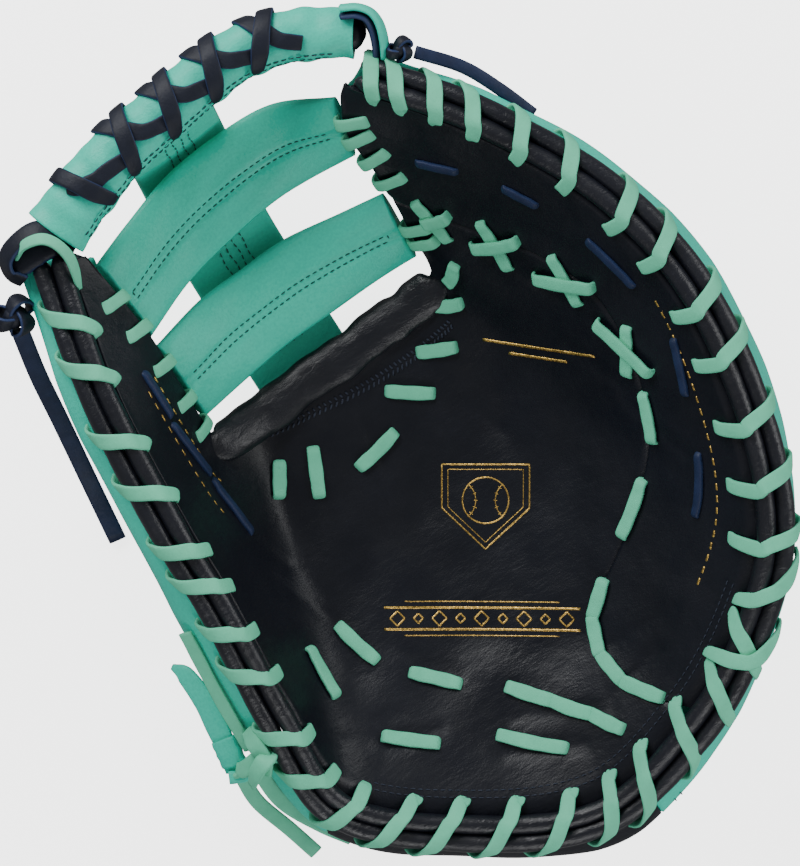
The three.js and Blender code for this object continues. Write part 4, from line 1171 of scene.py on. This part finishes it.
# The thumb tip and the wrist: pixels of the photograph's frame and height
WRAP = ((72, 252, 99), (58, 237, 104), (38, 230, 106), (19, 240, 105), (6, 257, 101), (9, 273, 97),
        (24, 281, 95))
WRAP_MIDDLE = (42, 262, 88)
THUMB_PLUG = ((8, 268, 94), (22, 262, 96), (38, 252, 97), (56, 248, 97))
THUMB_HOOK = ((16, 257, 101), (24, 245, 108), (41, 239, 111), (56, 244, 110), (69, 257, 107), (76, 274, 103),
              (80, 294, 95))
HOOK_MIDDLE = (45, 280, 80)
# The wrist's lace on the back: start and end along the rim, and how far out from the web
WRIST_RUN = (.206, .2765, .895)
# Three turns of the knot, then the pull, its band and its rolled end, again in pixels and height
WRIST_KNOT = (
    ((247, 731, 66), (252, 741, 69), (260, 752, 70), (266, 763, 68), (267, 774, 63)),
    ((278, 757, 63), (271, 756, 70), (262, 764, 73), (255, 775, 69), (252, 785, 61)),
    ((268, 741, 64), (259, 757, 66), (250, 766, 63), (242, 770, 58), (238, 768, 54)),
)
PULL = ((173, 667, 49), (185, 675, 52), (202, 698, 53), (216, 725, 53), (227, 749, 52), (237, 771, 50))
PULL_BAND = ((223, 739, 52.4), (229, 752, 52), (235, 765, 50.6))
PULL_ROLL = ((229, 778, 50), (242, 776, 50), (256, 770, 51))


def pixel_lace(shape, spots, face, wide, thick):
    """A lace through pixels of the photograph, turned toward one direction."""
    shape.lace(pixel_route(spots), np.tile(unit(face), (len(spots), 1)), wide, thick, 6, 12)


def build_wraps(cfg):
    """The navy wrap at the thumb tip with the mint lace over it, and the wrist's lace, knot and pull."""
    thick = cfg.lace_thick / MM
    route = pixel_route(WRAP)
    shape = Shape()
    shape.lace(route, unit(route - from_pixel(*WRAP_MIDDLE)), WRAP_WIDE, WRAP_THICK, 8, 12)
    pixel_lace(shape, THUMB_PLUG, UP, np.array([7.0, 10.5, 10.5, 6.0]), 7.0)
    make_piece("thumb_wrap_lace", shape, navy_lace(cfg), ["thumb_lace_wrap"])
    route = pixel_route(THUMB_HOOK)
    wide = np.array([3.4, 4.4, 4.6, 4.6, 4.4, 4.0, 2.0])
    hook = Shape()
    hook.lace(route, unit(route - from_pixel(*HOOK_MIDDLE)), wide, thick, 6, 14)
    make_piece("thumb_hook_lace", hook, mint_lace(cfg), [])
    start, end, out = WRIST_RUN
    points, n = surface_row(back_at, (start, out), (end, out), 12, -1.0)
    points = points + n * WRIST_RUN_LIFT
    shape = Shape()
    shape.lace(points, unit(n + UP * .8), WRIST_RUN_WIDE, thick, 5, 14)
    make_piece("wrist_run_lace", shape, mint_lace(cfg), ["wrist_lace"])
    knot = Shape()
    outward = np.append(-PHOTO_RIGHT, 1.6)
    for spots in WRIST_KNOT:
        pixel_lace(knot, spots, outward, np.array([5.4, 6.8, 7.4, 6.4, 4.6]), thick * 1.2)
    make_piece("wrist_knot_band", knot, mint_lace(cfg), ["wrist_knot"])
    pull = Shape()
    pixel_lace(pull, PULL, outward, np.array([2.6, 7.4, 9.4, 9.8, 9.6, 9.8]), cfg.back_leather / MM)
    pixel_lace(pull, PULL_BAND, outward, np.array([10.6, 11.0, 11.2]), cfg.back_leather / MM * 2)
    pixel_lace(pull, PULL_ROLL, outward, 5.2, 5.0)
    make_piece("wrist_pull_leather", pull, mint_leather(cfg), [])


# Free lace ends: route as shares of the mitt, width in millimetres, and the look
TAILS = {
    "thumb_lace_tail": (7, "navy", ((-.415, .3215, .812), (-.436, .273, .579), (-.452, .221, .355),
                                    (-.472, .150, .131), (-.489, .072, .019))),
    "finger_lace_tail": (5, "navy", ((.337, .3425, .944), (.388, .302, .897), (.420, .260, .841),
                                     (.445, .219, .766))),
    "wrist_tail_a": (6, "mint", ((-.508, -.2265, .500), (-.516, -.268, .310), (-.503, -.318, .110),
                                 (-.490, -.360, .019))),
    "wrist_tail_b": (6, "mint", ((-.4810, -.2275, .502), (-.484, -.282, .290), (-.458, -.332, .110),
                                 (-.428, -.368, .019))),
}


def build_tails(cfg):
    """Free ends of the laces, each a flat cord of its real length."""
    for node, (wide, look, route) in TAILS.items():
        line = resample(spline(np.array(route) * MITT, 12), 40)
        shape = Shape()
        shape.tube(line, *upright(line), wide, TAIL_THICK, 14, .55, .92)
        skin = blue_lace(cfg) if look == "navy" else mint_lace(cfg)
        piece = make_piece(node + "_lace", shape, skin, [node])


def gold_line(shape, skin, points, wide):
    """A thin stamped line on the palm, given in plan."""
    points = np.asarray(points, float)
    made, normals = [], []
    for x, y in points:
        hit, normal, _, _ = skin.ray_cast(Vector((x, y, 300)), Vector((0, 0, -1)))
        if hit is not None:
            made.append(np.array(hit) + np.array(normal) * .06)
            normals.append(np.array(normal) * np.sign(normal[2]))
    if len(made) < 2:
        raise RuntimeError("a stamped line misses the palm")
    made, normals = np.array(made), np.array(normals)
    run = unit(np.gradient(made, axis=0))
    shape.tube(made, unit(np.cross(run, normals)), normals, wide, .16, 6)


def arc(centre, radius, start, end, count=24):
    a = np.radians(np.linspace(start, end, count))
    return np.stack([centre[0] + radius * np.cos(a), centre[1] + radius * np.sin(a)], 1)


def straight(a, b, count=14):
    return np.asarray(a) + (np.asarray(b) - np.asarray(a)) * np.linspace(0, 1, count)[:, None]


def placed(centre, points):
    """Plan points from a drawing made upright in the photo's view."""
    points = np.asarray(points, float)
    return np.asarray(centre) + points[:, :1] * PHOTO_RIGHT + points[:, 1:] * PHOTO_UP


# Where the stamped marks stand in plan, in millimetres
PLATE_AT = (14, -40)
RULE_AT = (-12, -78)
SHORT_RULES_AT = (61, -3)


def build_stamps(cfg):
    """Generic gold stamping: a home plate with a ball, a rule with diamonds, and short rules."""
    verts, faces = [], []
    for name in ("palm_leather", "finger_panel_leather"):
        mesh = bpy.data.objects[name].data
        base = len(verts)
        verts.extend([Vector(v.co) / MM - Vector(SHIFT) for v in mesh.vertices])
        faces.extend([[i + base for i in p.vertices] for p in mesh.polygons])
    skin = BVHTree.FromPolygons(verts, faces)
    shape = Shape()
    ball, bend = 9, 8.2
    for grow in (1.0, .86):
        plate = np.array([(-17, 14), (17, 14), (17, -3), (0, -19), (-17, -3), (-17, 14)]) * grow
        for a, b in zip(plate[:-1], plate[1:]):
            gold_line(shape, skin, placed(PLATE_AT, straight(a, b)), .75 if grow == 1 else .4)
    gold_line(shape, skin, placed(PLATE_AT, arc((0, 0), ball, 0, 360, 48)), .7)
    for sign, turn in ((-1, 0), (1, 180)):
        seam = arc((sign * 12, 0), bend, turn - 45, turn + 45)
        gold_line(shape, skin, placed(PLATE_AT, seam), .5)
        for k in range(5):
            a = math.radians(turn + (k - 2) * 19)
            spot = np.array([sign * 12 + bend * math.cos(a), bend * math.sin(a)])
            tick = np.array([math.cos(a), math.sin(a)])
            gold_line(shape, skin, placed(PLATE_AT, straight(spot - tick * .8, spot + tick * .8, 4)), .35)
    for y, half, wide in ((4.2, 38, 1.1), (-4.2, 38, 1.1), (6.6, 30, .5), (-6.6, 30, .5)):
        gold_line(shape, skin, placed(RULE_AT, straight((-half, y), (half, y), 40)), wide)
    for k in range(-4, 5):
        mid, tall = k * 8.2, 2.9 if k % 2 == 0 else 1.9
        corners = np.array([(mid, tall), (mid + tall, 0), (mid, -tall), (mid - tall, 0), (mid, tall)])
        for a, b in zip(corners[:-1], corners[1:]):
            gold_line(shape, skin, placed(RULE_AT, straight(a, b, 6)), .8)
    for y, half in ((2.4, 21), (-1.2, 11)):
        ends = (-half, y + half * .17), (half, y - half * .17)
        gold_line(shape, skin, placed(SHORT_RULES_AT, straight(*ends, 24)), 1.3)
    for along, out in ((a, o) for a in np.linspace(.20, .105, 12) for o in (.50, .30)):
        spots = palm_at(np.array([along, along - .0045]), np.array([out, out]))[:, :2]
        gold_line(shape, skin, straight(spots[0], spots[1], 4), .9)
    for along in np.linspace(.60, .775, 24):
        spots = palm_at(np.array([along, along + .0042]), np.array([.885, .885]))[:, :2]
        gold_line(shape, skin, straight(spots[0], spots[1], 4), 1.0)
    gold = shared_material("gold_foil", foil, tuple(cfg.gold))
    make_piece("gold_stamping", shape, gold, [])


CAMERA_LENS = 162.0
CAMERA_TURN = -32.5
WORLD_LIGHT = .30
FLOOR_GLOW = 3.0
FLOOR_HALF = 3.0


def area_light(name, power, size, place, aim):
    light = bpy.data.lights.new(name, "AREA")
    light.energy = power
    light.shape = "RECTANGLE"
    light.size, light.size_y = size
    lamp = bpy.data.objects.new(name, light)
    lamp.location = place
    lamp.rotation_mode = "QUATERNION"
    lamp.rotation_quaternion = (Vector(aim) - Vector(place)).to_track_quat("-Z", "Y")
    bpy.context.scene.collection.objects.link(lamp)


def build_stage(cfg):
    """Pale floor, soft studio light and the camera above the palm."""
    floor_mesh = bpy.data.meshes.new("floor")
    corners = [(x * FLOOR_HALF, y * FLOOR_HALF, 0) for x, y in ((-1, -1), (1, -1), (1, 1), (-1, 1))]
    floor_mesh.from_pydata(corners, [], [(0, 1, 2, 3)])
    floor = bpy.data.objects.new("floor", floor_mesh)
    bpy.context.scene.collection.objects.link(floor)
    mat, _, shader = new_material("floor_grey")
    shader.inputs["Base Color"].default_value = (.90, .90, .90, 1)
    shader.inputs["Roughness"].default_value = 1.0
    shader.inputs["Specular IOR Level"].default_value = 0.0
    shader.inputs["Emission Color"].default_value = (1, 1, 1, 1)
    shader.inputs["Emission Strength"].default_value = FLOOR_GLOW
    floor_mesh.materials.append(mat)
    floor.visible_diffuse = False
    floor.visible_glossy = False
    right = np.append(PHOTO_RIGHT, 0)
    up = np.append(PHOTO_UP, 0)
    middle = np.array([0, 0, .05])
    lights = (
        ("key_softbox", 18.5, (1.0, .6), -right * .62 + up * .90 + UP * .75),
        ("fill_softbox", 8.0, (1.0, .6), right * 1.05 + up * .25 + UP * .62),
        ("heel_softbox", 5.5, (.9, .5), right * .15 - up * 1.05 + UP * .55),
    )
    for name, power, size, place in lights:
        area_light(name, power, size, Vector(place), middle)
    world = bpy.data.worlds.new("studio")
    bpy.context.scene.world = world
    world.use_nodes = True
    world.node_tree.nodes["Background"].inputs["Color"].default_value = (1, 1, 1, 1)
    world.node_tree.nodes["Background"].inputs["Strength"].default_value = WORLD_LIGHT
    data = bpy.data.cameras.new("photo_camera")
    data.lens = CAMERA_LENS
    data.sensor_width = 36.0
    data.dof.use_dof = False
    camera = bpy.data.objects.new("photo_camera", data)
    camera.location = (SHIFT[0] * MM, SHIFT[1] * MM, CAMERA_HIGH * MM)
    camera.rotation_euler = (0, 0, math.radians(CAMERA_TURN))
    bpy.context.scene.collection.objects.link(camera)
    bpy.context.scene.camera = camera


class MittSettings(bpy.types.PropertyGroup):
    lace_width: bpy.props.FloatProperty(
        name="Lace width", description="Width of the rim and crown laces", default=.0066, unit="LENGTH")
    lace_thick: bpy.props.FloatProperty(
        name="Lace thickness", description="Thickness of every lace", default=.0016, unit="LENGTH")
    stitch_lace: bpy.props.FloatProperty(
        name="Palm lace width", description="Width of the laces that show on the palm",
        default=.005, unit="LENGTH")
    roll_radius: bpy.props.FloatProperty(
        name="Roll radius", description="Radius of the two rim rolls", default=.0031, unit="LENGTH")
    palm_leather: bpy.props.FloatProperty(
        name="Palm leather", description="Thickness of the palm leather", default=.0022, unit="LENGTH")
    back_leather: bpy.props.FloatProperty(
        name="Back leather", description="Thickness of the back leather", default=.0022, unit="LENGTH")
    stitch_length: bpy.props.FloatProperty(
        name="Stitch length", description="Length of one stitch", default=.0021, unit="LENGTH")
    stitch_space: bpy.props.FloatProperty(
        name="Stitch space", description="Space between two stitches", default=.0008, unit="LENGTH")
    thread: bpy.props.FloatProperty(
        name="Thread", description="Diameter of the thread", default=.00048, unit="LENGTH")
    navy: bpy.props.FloatVectorProperty(
        name="Navy leather", description="Colour of the palm",
        default=(.0045, .0056, .0100), subtype="COLOR")
    roll: bpy.props.FloatVectorProperty(
        name="Roll leather", description="Colour of the rolls",
        default=(.0065, .0075, .0120), subtype="COLOR")
    mint: bpy.props.FloatVectorProperty(
        name="Mint leather", description="Colour of the back and web",
        default=(.034, .590, .430), subtype="COLOR")
    mint_lace: bpy.props.FloatVectorProperty(
        name="Mint lace", description="Colour of the mint laces",
        default=(.120, .555, .350), subtype="COLOR")
    navy_lace: bpy.props.FloatVectorProperty(
        name="Navy lace", description="Colour of the crown lace",
        default=(.008, .010, .018), subtype="COLOR")
    blue_lace: bpy.props.FloatVectorProperty(
        name="Blue lace", description="Colour of the hand stitches",
        default=(.010, .018, .050), subtype="COLOR")
    lace_edge: bpy.props.FloatVectorProperty(
        name="Lace edge", description="Raw edge of the dark laces",
        default=(.022, .040, .110), subtype="COLOR")
    navy_thread: bpy.props.FloatVectorProperty(
        name="Navy thread", description="Thread of the palm and back",
        default=(.022, .030, .055), subtype="COLOR")
    green_thread: bpy.props.FloatVectorProperty(
        name="Green thread", description="Thread of the web", default=(.010, .060, .055), subtype="COLOR")
    gold: bpy.props.FloatVectorProperty(
        name="Gold", description="Colour of the stamping", default=(.78, .50, .13), subtype="COLOR")


def piece_operator(name, label, build, doc):
    """An operator that runs one builder with the scene's mitt settings."""

    def execute(self, context):
        build(context.scene.mitt_settings)
        return {"FINISHED"}

    members = {"bl_idname": "mitt." + name, "bl_label": label, "bl_options": {"REGISTER", "UNDO"},
               "__doc__": doc, "execute": execute}
    return type("MITT_OT_" + name, (bpy.types.Operator,), members)


STEPS = (
    ("stage", "Stage", build_stage, "Set the floor, the lights and the camera"),
    ("tails", "Free ends", build_tails, "Build the free lace ends"),
    ("palm", "Palm", build_palm, "Build the palm leather"),
    ("finger_panel", "Finger panel", build_finger_panel, "Build the finger panel"),
    ("rolls", "Rim rolls", build_rolls, "Build the two rim rolls"),
    ("crotch", "Crotch roll", build_crotch, "Build the padded roll under the web and the palm's stitches"),
    ("back", "Back", build_back, "Build the back leather"),
    ("crown", "Crown sleeve", build_crown, "Build the web's top sleeve and its core"),
    ("bars", "Web bars", build_bars, "Build the two folded bars of the web"),
    ("post", "Web post", build_post, "Build the post behind the bars"),
    ("crown_lace", "Crown lace", build_crown_lace, "Lace the crown sleeve"),
    ("crown_mouth", "Crown mouth", build_crown_mouth, "Build the sleeve's curled open end"),
    ("rim_laces", "Rim laces", build_rim_laces, "Lace the rim"),
    ("web_laces", "Web laces", build_web_laces, "Tie the web to its border"),
    ("palm_laces", "Palm laces", build_palm_laces, "Build the laces that show on the palm"),
    ("hand_stitches", "Hand stitches", build_hand_stitches, "Build the blue lace stitches"),
    ("knots", "Knots", build_knots, "Tie the knots"),
    ("wraps", "Wraps", build_wraps, "Build the thumb wrap and the wrist lace"),
    ("stamps", "Gold stamping", build_stamps, "Stamp the generic gold marks"),
)
OPERATORS = tuple(piece_operator(*step) for step in STEPS)


class MITT_PT_panel(bpy.types.Panel):
    """Sizes of the mitt and a button for each piece."""

    bl_label = "First Baseman Mitt"
    bl_idname = "MITT_PT_panel"
    bl_space_type = "VIEW_3D"
    bl_region_type = "UI"
    bl_category = "Mitt"

    def draw(self, context):
        for name in MittSettings.__annotations__:
            self.layout.prop(context.scene.mitt_settings, name)
        for name, *_ in STEPS:
            self.layout.operator("mitt." + name)


CLASSES = (MittSettings, *OPERATORS, MITT_PT_panel)


def register():
    for cls in CLASSES:
        bpy.utils.register_class(cls)
    bpy.types.Scene.mitt_settings = bpy.props.PointerProperty(type=MittSettings)


def unregister():
    del bpy.types.Scene.mitt_settings
    for cls in reversed(CLASSES):
        bpy.utils.unregister_class(cls)


def main():
    register()
    for name, *_ in STEPS:
        getattr(bpy.ops.mitt, name)()


if __name__ == "__main__":
    main()
